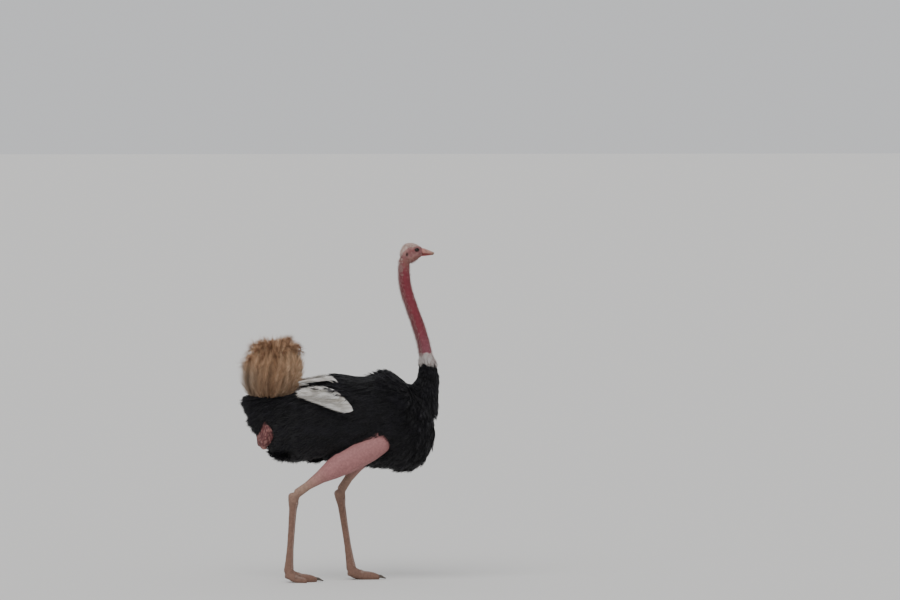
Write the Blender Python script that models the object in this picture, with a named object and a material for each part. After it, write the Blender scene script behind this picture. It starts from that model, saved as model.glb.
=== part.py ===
"""A life-size, still model of a male Masai ostrich, walking towards +X.

Metres, +Z up, +Y to the bird's left. The origin lies on the floor, under the middle of
the bird's length and width. The plumage is modelled out to the tips of the feathers.
"""

import math

import bmesh
import bpy
import numpy as np
from mathutils import Matrix, Vector

# ---------------------------------------------------------------- driving dimensions

GAP = 0.0003  # clearance between neighbouring pieces
RIGHT, LEFT = -1.0, 1.0  # sign of Y on each side of the bird

# Trunk, with its plumage: X, top, underside, half width
TRUNK = [
    (-0.606, 1.176, 1.100, 0.050),
    (-0.570, 1.188, 0.960, 0.086),
    (-0.510, 1.195, 0.868, 0.100),
    (-0.430, 1.198, 0.806, 0.128),
    (-0.330, 1.205, 0.772, 0.172),
    (-0.225, 1.236, 0.758, 0.206),
    (-0.106, 1.286, 0.752, 0.228),
    (0.000, 1.302, 0.746, 0.238),
    (0.105, 1.298, 0.736, 0.242),
    (0.195, 1.296, 0.724, 0.242),
    (0.279, 1.324, 0.714, 0.240),
    (0.360, 1.308, 0.710, 0.230),
    (0.440, 1.250, 0.714, 0.210),
    (0.500, 1.205, 0.744, 0.182),
    (0.548, 1.175, 0.795, 0.146),
    (0.580, 1.120, 0.868, 0.100),
]
TRUNK_REAR, TRUNK_FRONT = 0.022, 0.018  # how far the rounded ends stand out
TRUNK_SIDES = 18
TRUNK_EGG = 0.10  # how much wider the trunk is above its middle than below
TRUNK_SQUARE = 2.2  # 2 is an ellipse, more is boxier

# Bare neck: centre X, centre Z, half depth, from the top down
NECK = [
    (0.409, 2.040, 0.0310),
    (0.405, 1.995, 0.0340),
    (0.404, 1.959, 0.0348),
    (0.405, 1.922, 0.0360),
    (0.414, 1.850, 0.0368),
    (0.451, 1.729, 0.0366),
    (0.495, 1.608, 0.0378),
    (0.529, 1.488, 0.0390),
    (0.541, 1.436, 0.0400),
    (0.551, 1.361, 0.0420),
]
NECK_SLIMNESS = 0.93  # width of the neck against its depth
NECK_SIDES = 14
NECK_CUTS = {
    "neck_upper": (2.035, 1.800),
    "neck_middle": (1.800, 1.620),
    "neck_lower": (1.620, 1.436),
}
NECK_STATIONS, COLLAR_STATIONS = 6, 3  # sections in each length of the neck
COLLAR_TOP, COLLAR_BOTTOM, COLLAR_HALF_DEPTH = 1.436, 1.361, 0.0570

# Feathered neck base and breast: X, Z, half depth, half width
NECK_BASE = [
    (0.5510, 1.3607, 0.0560, 0.0550),
    (0.5580, 1.3290, 0.0640, 0.0620),
    (0.5570, 1.2850, 0.0740, 0.0730),
    (0.5480, 1.2400, 0.0860, 0.0880),
    (0.5310, 1.1800, 0.1030, 0.1120),
    (0.5150, 1.1200, 0.1130, 0.1300),
    (0.4930, 1.0550, 0.1080, 0.1300),
]
NECK_BASE_END = 0.055

# Head: X, top, underside, half width
HEAD = [
    (0.384, 2.082, 2.028, 0.0190),
    (0.394, 2.106, 2.010, 0.0265),
    (0.412, 2.122, 2.001, 0.0330),
    (0.437, 2.128, 1.999, 0.0370),
    (0.462, 2.126, 2.006, 0.0390),
    (0.482, 2.120, 2.019, 0.0395),
    (0.500, 2.111, 2.033, 0.0350),
    (0.514, 2.103, 2.043, 0.0300),
]
HEAD_BACK, HEAD_FRONT = 0.005, 0.004
HEAD_SIDES = 16
HEAD_EGG = -0.06

# Bill: X, top, underside, half width
GAPE_Z = 2.0555  # level of the mouth line
BILL_UPPER = [
    (0.506, 2.1030, GAPE_Z, 0.0290),
    (0.524, 2.0960, GAPE_Z, 0.0275),
    (0.545, 2.0885, GAPE_Z + 0.0005, 0.0240),
    (0.566, 2.0800, GAPE_Z + 0.0010, 0.0190),
    (0.584, 2.0710, GAPE_Z + 0.0015, 0.0135),
]
BILL_LOWER = [
    (0.506, GAPE_Z - 0.0006, 2.0400, 0.0280),
    (0.524, GAPE_Z - 0.0006, 2.0450, 0.0255),
    (0.545, GAPE_Z - 0.0001, 2.0475, 0.0215),
    (0.566, GAPE_Z + 0.0004, 2.0500, 0.0165),
    (0.582, GAPE_Z + 0.0009, 2.0530, 0.0110),
]
BILL_TIP_UPPER, BILL_TIP_LOWER = 0.0110, 0.0090
BILL_SIDES = 12

EYE_CENTRE, EYE_RADIUS = (0.480, 0.0225, 2.0850), 0.0210
EAR_CENTRE, EAR_RADII = (0.418, 0.0320, 2.0560), (0.0070, 0.0050, 0.0100)

# Folded wings, which lie over the sides and the back: X, top, underside, half width
WINGS = [
    (0.490, 1.150, 1.040, 0.140),
    (0.440, 1.222, 0.960, 0.218),
    (0.375, 1.302, 0.920, 0.252),
    (0.285, 1.348, 0.900, 0.268),
    (0.195, 1.318, 0.895, 0.275),
    (0.100, 1.312, 0.900, 0.275),
    (0.020, 1.318, 0.965, 0.270),
    (-0.060, 1.312, 1.050, 0.258),
    (-0.130, 1.298, 1.115, 0.240),
    (-0.190, 1.272, 1.170, 0.196),
]
WING_SPLIT = 0.006  # from the middle of the back to the edge of each wing
WING_SIDES, WING_SQUARE = 18, 2.3
HALF_CUTTER = 2.0  # edge of the cube that cuts a wing off at the middle of the back

# White quills of the wing, in two sheaves: X, Y, Z of the middle, half height, half width
PLUMES_LOWER = [
    (0.008, 0.232, 1.124, 0.056, 0.052),
    (-0.035, 0.228, 1.140, 0.068, 0.052),
    (-0.095, 0.212, 1.158, 0.060, 0.050),
    (-0.165, 0.186, 1.174, 0.045, 0.046),
    (-0.245, 0.154, 1.180, 0.028, 0.036),
]
PLUMES_UPPER = [
    (-0.070, 0.150, 1.275, 0.017, 0.050),
    (-0.125, 0.138, 1.271, 0.020, 0.048),
    (-0.185, 0.118, 1.265, 0.018, 0.042),
    (-0.230, 0.100, 1.259, 0.014, 0.034),
]
PLUMES_FRONT, PLUMES_REAR = 0.012, 0.045
PLUMES_SIDES = 10

# Raised tail, a bush of curled plumes: Z, centre X, half length, half width
TAIL = [
    (1.160, -0.452, 0.150, 0.085),
    (1.225, -0.448, 0.184, 0.122),
    (1.315, -0.426, 0.207, 0.160),
    (1.385, -0.423, 0.190, 0.175),
    (1.445, -0.424, 0.160, 0.178),
]
TAIL_RIM, TAIL_RIM_LEAN = 1.500, 0.026  # mean height of the rim, and how much higher it is in front
TAIL_LOBES, TAIL_LOBE_RISE, TAIL_LOBE_SWELL = 8, 0.018, 0.045  # the plumes' round ends
TAIL_RIM_HALF_LENGTH, TAIL_RIM_HALF_WIDTH = 0.138, 0.172
TAIL_CROWN = 0.012  # how much the top rises to its middle
TAIL_TOP_RINGS = (1.0, 0.8, 0.45)  # size of the rings of the top against the rim
TAIL_SIDES = 40

VENT_CENTRE, VENT_RADII, VENT_LEAN = (-0.466, 0.0, 0.940), (0.068, 0.136, 0.118), math.radians(22)

# Legs: side, knee, ankle and toe joint
LEGS = {
    "right": (RIGHT, (0.242, 0.160, 0.872), (-0.309, 0.105, 0.545), (-0.340, 0.090, 0.072)),
    "left": (LEFT, (0.355, 0.150, 1.015), (0.006, 0.105, 0.552), (0.078, 0.090, 0.072)),
}
# Share of the way from knee to ankle, half depth, half width
DRUMSTICK = [
    (0.00, 0.062, 0.052),
    (0.13, 0.078, 0.066),
    (0.27, 0.083, 0.071),
    (0.41, 0.080, 0.068),
    (0.56, 0.066, 0.056),
    (0.70, 0.042, 0.038),
    (0.84, 0.028, 0.027),
    (0.97, 0.030, 0.030),
]
DRUMSTICK_BOW = 0.022  # how far the middle of the drumstick stands up from the straight line
DRUMSTICK_KNEE = 0.045  # length of the rounded front end
# Share of the way from ankle to toe joint, half depth, half width
SHANK = [
    (0.00, 0.0370, 0.0335),
    (0.07, 0.0340, 0.0315),
    (0.17, 0.0255, 0.0240),
    (0.40, 0.0225, 0.0205),
    (0.70, 0.0220, 0.0205),
    (0.88, 0.0265, 0.0255),
    (1.00, 0.0320, 0.0320),
]
SHANK_TOP, SHANK_END = 0.022, 0.026  # lengths of the rounded ends
SHANK_SIDES, DRUMSTICK_SIDES = 10, 12

# Toes: distance from the toe joint, height of the middle, half height, half width
TOE_LARGE = [
    (-0.010, 0.0560, 0.0340, 0.0290),
    (0.035, 0.0380, 0.0330, 0.0320),
    (0.075, 0.0250, 0.0290, 0.0300),
    (0.110, 0.0235, 0.0275, 0.0290),
    (0.145, 0.0200, 0.0240, 0.0265),
    (0.172, 0.0170, 0.0190, 0.0220),
]
TOE_SMALL = [
    (-0.005, 0.0500, 0.0260, 0.0200),
    (0.030, 0.0300, 0.0270, 0.0200),
    (0.060, 0.0180, 0.0210, 0.0190),
    (0.090, 0.0170, 0.0195, 0.0180),
    (0.112, 0.0140, 0.0155, 0.0145),
]
CLAW = [
    (0.150, 0.0235, 0.0130, 0.0140),
    (0.178, 0.0215, 0.0120, 0.0125),
    (0.200, 0.0165, 0.0092, 0.0095),
    (0.218, 0.0105, 0.0052, 0.0055),
]
TOE_SIDES, TOE_SQUARE = 10, 2.3
TOE_HEEL, TOE_TIP, CLAW_TIP = 0.010, 0.012, 0.006  # lengths of the rounded ends
SOLE_DEPTH = 0.006  # everything lower than this is pressed flat on the floor
TOE_LARGE_TURN, TOE_SMALL_TURN = math.radians(-2), math.radians(27)  # outwards from straight ahead
TOE_SMALL_SHIFT = 0.024  # the small toe springs from the outer side of the joint

# ---------------------------------------------------------------- materials

BLACK = ("plumage_black", (0.012, 0.011, 0.014), 0.75)
WHITE = ("plumage_white", (0.62, 0.58, 0.52), 0.80)
TAN = ("plumage_tan", (0.30, 0.19, 0.11), 0.85)
SKIN = ("skin_pink", (0.42, 0.16, 0.15), 0.60)
LEG_SKIN = ("skin_leg", (0.46, 0.25, 0.24), 0.60)
BILL = ("bill_horn", (0.52, 0.30, 0.26), 0.40)
CLAW_HORN = ("claw_horn", (0.10, 0.08, 0.07), 0.40)
EYE = ("eye_brown", (0.035, 0.018, 0.012), 0.08)


def material(finish):
    """The material of a finish, made on its first use."""
    name, colour, roughness = finish
    made = bpy.data.materials.get(name)
    if made is None:
        made = bpy.data.materials.new(name)
        made.use_nodes = True
        shader = made.node_tree.nodes["Principled BSDF"]
        shader.inputs["Base Color"].default_value = (*colour, 1.0)
        shader.inputs["Roughness"].default_value = roughness
        shader.inputs["Metallic"].default_value = 0.0
    return made


# ---------------------------------------------------------------- modelling helpers


def clear_scene():
    for item in list(bpy.data.objects):
        bpy.data.objects.remove(item, do_unlink=True)


def collection(name):
    made = bpy.data.collections.new(name)
    bpy.context.scene.collection.children.link(made)
    return made


def add_object(name, mesh, finish, group):
    mesh.materials.append(material(finish))
    piece = bpy.data.objects.new(name, mesh)
    group.objects.link(piece)
    return piece


def smooth_rows(rows, steps):
    """Rows with steps - 1 more between each two, on a curve through all of them."""
    rows = np.array(rows, float)
    along = np.concatenate([[0.0], np.cumsum(np.linalg.norm(np.diff(rows[:, :3], axis=0), axis=1))])
    slopes = np.gradient(rows, along, axis=0)
    result = []
    for i in range(len(rows) - 1):
        span = along[i + 1] - along[i]
        for t in np.arange(steps) / steps:
            result.append(
                (2 * t**3 - 3 * t**2 + 1) * rows[i]
                + (t**3 - 2 * t**2 + t) * span * slopes[i]
                + (3 * t**2 - 2 * t**3) * rows[i + 1]
                + (t**3 - t**2) * span * slopes[i + 1]
            )
    result.append(rows[-1])
    return np.array(result)


def with_domes(rows, normals, first, last, rings=2):
    """The rows and normals with smaller sections added, so that each end is rounded."""
    rows, normals = list(rows), list(normals)
    for length, end, outwards in ((first, 0, -1.0), (last, -1, 1.0)):
        if length <= 0:
            continue
        row, normal = rows[end], normals[end]
        for k in range(1, rings + 1):
            turn = 0.5 * math.pi * k / (rings + 0.6)
            extra = row.copy()
            extra[:3] += outwards * length * math.sin(turn) * normal
            extra[3:] *= math.cos(turn)
            if end == 0:
                rows.insert(0, extra)
                normals.insert(0, normal)
            else:
                rows.append(extra)
                normals.append(normal)
    return rows, normals


def section(row, normal, sides, square, egg):
    """The points of one cross-section: a superellipse across the normal."""
    half_depth, half_width = row[3], row[4]
    across = np.array([0.0, 1.0, 0.0]) - normal[1] * normal
    across /= np.linalg.norm(across)
    depth = np.cross(normal, across)
    if depth[2] < 0 and abs(normal[0]) > abs(normal[2]):
        depth = -depth
    points = []
    for k in range(sides):
        turn = 2 * math.pi * (k + 0.5) / sides
        c, s = math.cos(turn), math.sin(turn)
        u = math.copysign(abs(c) ** (2 / square), c)
        v = math.copysign(abs(s) ** (2 / square), s)
        points.append(row[:3] + half_width * u * (1 + egg * v) * across + half_depth * v * depth)
    return points


def mesh_from_rings(name, rings):
    """A closed mesh through rings of equally many points, with a fan at each end."""
    built = bmesh.new()
    loops = [[built.verts.new(point) for point in ring] for ring in rings]
    count = len(loops[0])
    for low, high in zip(loops, loops[1:]):
        for k in range(count):
            n = (k + 1) % count
            built.faces.new((low[k], low[n], high[n], high[k]))
    for loop in (loops[0], loops[-1]):
        middle = sum((vert.co for vert in loop), Vector()) / count
        pole = built.verts.new(middle)
        for k in range(count):
            built.faces.new((loop[k], loop[(k + 1) % count], pole))
    bmesh.ops.triangulate(built, faces=built.faces)
    bmesh.ops.recalc_face_normals(built, faces=built.faces)
    mesh = bpy.data.meshes.new(name)
    built.to_mesh(mesh)
    built.free()
    mesh.shade_smooth()
    return mesh


def loft(name, rows, sides, steps=2, first=0.0, last=0.0, square=2.0, egg=0.0, upright=False, ends=None):
    """A smooth body through stations of X, Y, Z, half depth and half width.

    Sections stand across the line of the stations or, if upright, across X. first and last
    are the lengths of the rounded ends, and ends the directions of the first and last section.
    """
    rows = smooth_rows(rows, steps)
    if upright:
        direction = np.array([math.copysign(1.0, rows[-1][0] - rows[0][0]), 0.0, 0.0])
        normals = [direction] * len(rows)
    else:
        normals = [t / np.linalg.norm(t) for t in np.gradient(rows[:, :3], axis=0)]
    if ends:
        normals[0], normals[-1] = ends
    rows, normals = with_domes(rows, normals, first, last)
    return mesh_from_rings(name, [section(r, n, sides, square, egg) for r, n in zip(rows, normals)])


def stations_from_profile(profile, side=0.0):
    """Stations across X from rows of X, top, underside and half width."""
    return [(x, side, (top + low) / 2, (top - low) / 2, width) for x, top, low, width in profile]


def ellipsoid(name, centre, radii, lean=0.0, segments=12):
    built = bmesh.new()
    bmesh.ops.create_uvsphere(built, u_segments=segments, v_segments=segments // 2 + 1, radius=1.0)
    for vert in built.verts:
        x, y, z = (a * b for a, b in zip(vert.co, radii))
        forwards = x * math.cos(lean) + z * math.sin(lean)
        upwards = z * math.cos(lean) - x * math.sin(lean)
        vert.co = Vector((forwards, y, upwards)) + Vector(centre)
    bmesh.ops.triangulate(built, faces=built.faces)
    mesh = bpy.data.meshes.new(name)
    built.to_mesh(mesh)
    built.free()
    mesh.shade_smooth()
    return mesh


def grown(piece, group):
    """A cutter: a copy of the piece, larger by the clearance all round."""
    shape = piece.evaluated_get(bpy.context.evaluated_depsgraph_get())
    cutter = bpy.data.objects.new(piece.name + "_cutter", bpy.data.meshes.new_from_object(shape))
    group.objects.link(cutter)
    swell = cutter.modifiers.new("clearance", "DISPLACE")
    swell.mid_level = 0.0
    swell.strength = GAP
    cutter.hide_render = True
    cutter.display_type = "WIRE"
    return cutter


def cut(piece, *cutters):
    for cutter in cutters:
        step = piece.modifiers.new("cut_" + cutter.name, "BOOLEAN")
        step.operation = "DIFFERENCE"
        step.solver = "EXACT"
        step.object = cutter
    bpy.context.view_layer.update()


def mirrored(centre, side):
    return (centre[0], side * centre[1], centre[2])


# ---------------------------------------------------------------- the bird


def add_trunk(parts):
    mesh = loft(
        "trunk",
        stations_from_profile(TRUNK),
        TRUNK_SIDES,
        steps=1,
        first=TRUNK_REAR,
        last=TRUNK_FRONT,
        square=TRUNK_SQUARE,
        egg=TRUNK_EGG,
        upright=True,
    )
    return add_object("trunk", mesh, BLACK, parts)


def neck_length(name, top, bottom, half_depth=None, count=NECK_STATIONS):
    """One length of the neck between two heights, cut square to the neck's own line."""
    stations = [(x, 0.0, z, r, r * NECK_SLIMNESS) for x, z, r in NECK]
    line = smooth_rows(stations, NECK_STATIONS)[::-1]
    slopes = np.gradient(line[:, 0], line[:, 2])
    heights = np.linspace(top, bottom, count)
    rows = np.array([np.interp(heights, line[:, 2], line[:, k]) for k in range(5)]).T
    if half_depth is not None:
        rows[:, 3], rows[:, 4] = half_depth, half_depth * NECK_SLIMNESS
    ends = []
    for index, height, inset in ((0, top, GAP / 2), (-1, bottom, -GAP / 2)):
        down = np.array([-np.interp(height, line[:, 2], slopes), 0.0, -1.0])
        down /= np.linalg.norm(down)
        rows[index, :3] += inset * down
        ends.append(down)
    return loft(name, rows, NECK_SIDES, steps=1, ends=ends)


def add_neck(parts, cutters):
    pieces = {}
    for name, (top, bottom) in NECK_CUTS.items():
        pieces[name] = add_object(name, neck_length(name, top, bottom), SKIN, parts)
    mesh = neck_length(
        "neck_collar", COLLAR_TOP, COLLAR_BOTTOM, COLLAR_HALF_DEPTH, COLLAR_STATIONS
    )
    collar = add_object("neck_collar", mesh, WHITE, parts)
    rows = [(x, 0.0, z, depth, width) for x, z, depth, width in NECK_BASE]
    mesh = loft("neck_base", rows, NECK_SIDES + 2, steps=1, last=NECK_BASE_END)
    pieces["neck_base"] = add_object("neck_base", mesh, BLACK, parts)
    cut(pieces["neck_base"], grown(collar, cutters))
    return pieces


def add_head(parts, cutters, neck_top):
    mesh = loft(
        "head",
        stations_from_profile(HEAD),
        HEAD_SIDES,
        first=HEAD_BACK,
        last=HEAD_FRONT,
        egg=HEAD_EGG,
        upright=True,
    )
    head = add_object("head", mesh, SKIN, parts)
    around_head = grown(head, cutters)
    cut(neck_top, around_head)
    for name, profile, tip in (
        ("bill_upper", BILL_UPPER, BILL_TIP_UPPER),
        ("bill_lower", BILL_LOWER, BILL_TIP_LOWER),
    ):
        mesh = loft(name, stations_from_profile(profile), BILL_SIDES, 1, last=tip, upright=True)
        bill = add_object(name, mesh, BILL, parts)
        cut(bill, around_head)
    for side_name, side in (("right", RIGHT), ("left", LEFT)):
        mesh = ellipsoid("eye", mirrored(EYE_CENTRE, side), (EYE_RADIUS,) * 3)
        eye = add_object("eye_" + side_name, mesh, EYE, parts)
        mesh = ellipsoid("ear", mirrored(EAR_CENTRE, side), EAR_RADII, segments=8)
        ear = add_object("ear_" + side_name, mesh, SKIN, parts)
        cut(head, grown(eye, cutters), grown(ear, cutters))


def tail_rings():
    """Level rings up the tail, then a lobed rim and a top that rises a little to its middle."""
    turns = [2 * math.pi * k / TAIL_SIDES for k in range(TAIL_SIDES)]
    lobes = [1 - 2 * abs(math.cos(TAIL_LOBES * t / 2)) ** 3 for t in turns]
    base, top = TAIL[0][0], TAIL_RIM
    rings = []
    for z, x, half_length, half_width in TAIL:
        swell = TAIL_LOBE_SWELL * (z - base) / (top - base)
        ring = []
        for t, lobe in zip(turns, lobes):
            reach = 1 + swell * (lobe - 1) / 2
            ring.append((x + reach * half_length * math.cos(t), reach * half_width * math.sin(t), z))
        rings.append(ring)
    middle = TAIL[-1][1]
    for share in TAIL_TOP_RINGS:
        ring = []
        for t, lobe in zip(turns, lobes):
            rise = TAIL_RIM_LEAN * math.cos(t) + TAIL_LOBE_RISE * lobe
            z = top + share * rise + (1 - share) * TAIL_CROWN
            x = middle + share * TAIL_RIM_HALF_LENGTH * math.cos(t)
            ring.append((x, share * TAIL_RIM_HALF_WIDTH * math.sin(t), z))
        rings.append(ring)
    return rings


def add_rump(parts, cutters, trunk, around_trunk):
    tail = add_object("tail", mesh_from_rings("tail", tail_rings()), TAN, parts)
    cut(tail, around_trunk)
    vent = add_object("vent", ellipsoid("vent", VENT_CENTRE, VENT_RADII, VENT_LEAN), SKIN, parts)
    cut(trunk, grown(vent, cutters))
    return tail


def half_space(side, group):
    """A cutter that covers everything on the other side of the back's middle."""
    built = bmesh.new()
    bmesh.ops.create_cube(built, size=HALF_CUTTER)
    mesh = bpy.data.meshes.new("half")
    built.to_mesh(mesh)
    built.free()
    half = HALF_CUTTER / 2
    mesh.transform(Matrix.Translation((0.0, -side * (half - WING_SPLIT), half)))
    cutter = bpy.data.objects.new("half_cutter", mesh)
    group.objects.link(cutter)
    cutter.hide_render = True
    cutter.display_type = "WIRE"
    return cutter


def add_wings(parts, cutters, around_trunk, around_tail):
    for side_name, side in (("right", RIGHT), ("left", LEFT)):
        rows = stations_from_profile(WINGS)
        mesh = loft("wing", rows, WING_SIDES, steps=1, square=WING_SQUARE, upright=True)
        wing = add_object("wing_" + side_name, mesh, BLACK, parts)
        cut(wing, around_trunk, half_space(side, cutters))
        for name, sheaf in (("plumes_lower_", PLUMES_LOWER), ("plumes_upper_", PLUMES_UPPER)):
            rows = [(x, side * y, z, depth, width) for x, y, z, depth, width in sheaf]
            mesh = loft(name, rows, PLUMES_SIDES, 1, PLUMES_FRONT, PLUMES_REAR, upright=True)
            plumes = add_object(name + side_name, mesh, WHITE, parts)
            cut(wing, grown(plumes, cutters))
            cut(plumes, around_trunk, around_tail)


def between(start, end, share):
    return np.array(start) + share * (np.array(end) - np.array(start))


def limb_rows(start, end, profile, bow=0.0):
    """Stations from one joint to the next, which may bow upwards between them."""
    rows = []
    for share, half_depth, half_width in profile:
        centre = between(start, end, share)
        centre[2] += bow * math.sin(math.pi * min(share, 1.0))
        rows.append((*centre, half_depth, half_width))
    return rows


def toe_mesh(name, joint, profile, turn, side, shift=0.0, heel=TOE_HEEL, tip=TOE_TIP):
    """A toe or a claw that runs forwards from its joint, flat where it meets the floor."""
    rows = []
    for reach, height, half_height, half_width in profile:
        x = joint[0] + reach * math.cos(turn)
        y = joint[1] + side * (shift + reach * math.sin(turn))
        rows.append((x, y, height, half_height, half_width))
    mesh = loft(name, rows, TOE_SIDES, steps=1, first=heel, last=tip, square=TOE_SQUARE)
    for vert in mesh.vertices:
        if vert.co.z < SOLE_DEPTH:
            vert.co.z = 0.0
    return mesh


def add_leg(parts, cutters, trunk, name, side, knee, ankle, toes):
    knee, ankle, toes = (mirrored(joint, side) for joint in (knee, ankle, toes))
    mesh = loft("shank", limb_rows(ankle, toes, SHANK), SHANK_SIDES, 1, SHANK_TOP, SHANK_END)
    shank = add_object("shank_" + name, mesh, LEG_SKIN, parts)
    around_shank = grown(shank, cutters)
    rows = limb_rows(knee, ankle, DRUMSTICK, DRUMSTICK_BOW)
    mesh = loft("drumstick", rows, DRUMSTICK_SIDES, 1, first=DRUMSTICK_KNEE)
    drumstick = add_object("drumstick_" + name, mesh, LEG_SKIN, parts)
    cut(trunk, grown(drumstick, cutters))
    cut(drumstick, around_shank)
    mesh = toe_mesh("toe_large", toes, TOE_LARGE, TOE_LARGE_TURN, side)
    toe_large = add_object("toe_large_" + name, mesh, LEG_SKIN, parts)
    around_toe = grown(toe_large, cutters)
    cut(toe_large, around_shank)
    mesh = toe_mesh("toe_small", toes, TOE_SMALL, TOE_SMALL_TURN, side, TOE_SMALL_SHIFT)
    toe_small = add_object("toe_small_" + name, mesh, LEG_SKIN, parts)
    cut(toe_small, around_shank, around_toe)
    mesh = toe_mesh("claw", toes, CLAW, TOE_LARGE_TURN, side, heel=0.0, tip=CLAW_TIP)
    claw = add_object("claw_" + name, mesh, CLAW_HORN, parts)
    cut(claw, around_toe)


def build():
    clear_scene()
    parts, cutters = collection("ostrich"), collection("cutters")
    trunk = add_trunk(parts)
    around_trunk = grown(trunk, cutters)
    neck = add_neck(parts, cutters)
    cut(neck["neck_base"], around_trunk)
    add_head(parts, cutters, neck["neck_upper"])
    tail = add_rump(parts, cutters, trunk, around_trunk)
    add_wings(parts, cutters, around_trunk, grown(tail, cutters))
    for name, leg in LEGS.items():
        add_leg(parts, cutters, trunk, name, *leg)


build()
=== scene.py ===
# %% [markdown]
# # A male Masai ostrich, life size
# The solids from the part's own file say where everything is. This lesson dresses them: one
# skin over the flesh, a coat of black feathers, white wing plumes, a bushy tan tail, and a
# head with lids, lashes, ears and a bill. First the solids are loaded as a fixed frame.

# %% Load the frame
import math
from contextlib import contextmanager

import bmesh
import bpy
import numpy as np
from mathutils import Matrix, Vector, noise
from mathutils.bvhtree import BVHTree


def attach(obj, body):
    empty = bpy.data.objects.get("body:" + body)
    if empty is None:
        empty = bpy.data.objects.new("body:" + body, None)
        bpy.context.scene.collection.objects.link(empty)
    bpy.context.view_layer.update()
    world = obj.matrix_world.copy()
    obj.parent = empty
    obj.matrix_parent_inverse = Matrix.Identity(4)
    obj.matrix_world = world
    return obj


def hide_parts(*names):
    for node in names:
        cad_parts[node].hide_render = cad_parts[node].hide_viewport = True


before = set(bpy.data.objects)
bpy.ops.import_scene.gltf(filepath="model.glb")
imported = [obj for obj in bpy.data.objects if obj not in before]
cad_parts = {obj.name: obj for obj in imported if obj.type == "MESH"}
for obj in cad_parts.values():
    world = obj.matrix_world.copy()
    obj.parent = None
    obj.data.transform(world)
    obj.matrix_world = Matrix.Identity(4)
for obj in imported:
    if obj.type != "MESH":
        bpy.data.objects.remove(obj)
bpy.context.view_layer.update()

# %% [markdown]
# ## Camera, floor and light
# The bird is seen almost square from its right side, from far away, with a long lens: that
# keeps the outline nearly parallel, as in a side view drawn to scale. The light is a soft
# grey sky with one wide, weak sun, so that shadows are open and colours stay true.

# %% Camera
AZIMUTH, ELEVATION = math.radians(-8.0), math.radians(1.7)
DISTANCE, LENS, SENSOR = 40.0, 254.0, 36.0
ANCHOR = Vector((0.06, 0.0, 1.3))  # a point in the bird's middle plane
FRAME_SHIFT = (0.630, 0.470)  # from there to the middle of the picture: right and up

away = Vector((
    math.sin(AZIMUTH) * math.cos(ELEVATION),
    -math.cos(AZIMUTH) * math.cos(ELEVATION),
    math.sin(ELEVATION),
))
rightwards = Vector((math.cos(AZIMUTH), math.sin(AZIMUTH), 0.0))
upwards = away.cross(rightwards)
target = ANCHOR + FRAME_SHIFT[0] * rightwards + FRAME_SHIFT[1] * upwards

camera = bpy.data.objects.new("camera", bpy.data.cameras.new("camera"))
bpy.context.scene.collection.objects.link(camera)
camera.data.lens, camera.data.sensor_width = LENS, SENSOR
camera.data.clip_start, camera.data.clip_end = 1.0, 800.0
camera.location = target + DISTANCE * away
camera.rotation_mode = "QUATERNION"
camera.rotation_quaternion = (-away).to_track_quat("-Z", "Y")
bpy.context.scene.camera = camera
print("camera at", tuple(round(v, 3) for v in camera.location))


# %% Node helpers
def socket_named(sockets, name):
    """The enabled socket with that name, because some nodes keep several under one name."""
    return next(s for s in sockets if s.name == name and s.enabled)


def feed(tree, node, inputs):
    """Sets a node's inputs. An input that is given an output socket is linked to it."""
    for name, value in inputs.items():
        socket = node.inputs[name] if isinstance(name, int) else socket_named(node.inputs, name)
        if isinstance(value, bpy.types.NodeSocket):
            tree.links.new(value, socket)
        else:
            socket.default_value = value


def add_node(tree, kind, inputs=None, **settings):
    """A new node with its settings and inputs."""
    made = tree.nodes.new(kind)
    for name, value in settings.items():
        setattr(made, name, value)
    feed(tree, made, inputs or {})
    return made


def linear(red, green, blue):
    """A colour given as 0 to 255 on screen, as the shader's linear values."""
    parts = [v / 255 for v in (red, green, blue)]
    return (*[v / 12.92 if v < 0.04045 else ((v + 0.055) / 1.055) ** 2.4 for v in parts], 1.0)


def new_material(name, roughness, colour=(1.0, 1.0, 1.0, 1.0)):
    made = bpy.data.materials.new(name)
    made.use_nodes = True
    tree, shader = made.node_tree, made.node_tree.nodes["Principled BSDF"]
    feed(tree, shader, {"Roughness": roughness, "Base Color": colour})
    return made, tree, shader


# %% Floor, sky and sun
FLOOR_HALF = 400.0
SKY, SKY_STRENGTH = (0.90, 0.91, 0.93, 1.0), 0.75
SUN, SUN_ANGLE = 1.7, math.radians(50)
SUN_TURN = (math.radians(42), 0.0, math.radians(-28))

floor_mesh = bpy.data.meshes.new("floor")
corners = [(x * FLOOR_HALF, y * FLOOR_HALF, 0.0) for x, y in ((-1, -1), (1, -1), (1, 1), (-1, 1))]
floor_mesh.from_pydata(corners, [], [(0, 1, 2, 3)])
floor = bpy.data.objects.new("floor", floor_mesh)
bpy.context.scene.collection.objects.link(floor)
floor_mesh.materials.append(new_material("pale_floor", 0.9, (0.72, 0.71, 0.69, 1.0))[0])

world = bpy.data.worlds.new("soft sky")
world.use_nodes = True
sky_inputs = {"Color": SKY, "Strength": SKY_STRENGTH}
feed(world.node_tree, world.node_tree.nodes["Background"], sky_inputs)
bpy.context.scene.world = world

sun = bpy.data.objects.new("sun", bpy.data.lights.new("sun", "SUN"))
sun.data.energy, sun.data.angle = SUN, SUN_ANGLE
sun.rotation_euler = SUN_TURN
bpy.context.scene.collection.objects.link(sun)
print("floor, sky and sun")

# %% [markdown]
# ## The skin
# A real bird has one skin. The solids under it are separate parts, so their copies are fused:
# a voxel remesh joins each group into one closed surface of even quads, and smoothing melts
# the facets. The body is then shrunk by the depth of its coat, while neck, legs and vent keep
# their size, because they are bare. A boolean union joins the groups without a seam.
# A voxel remesh was chosen over hand-made patches because it needs no matching of edges.

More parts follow.
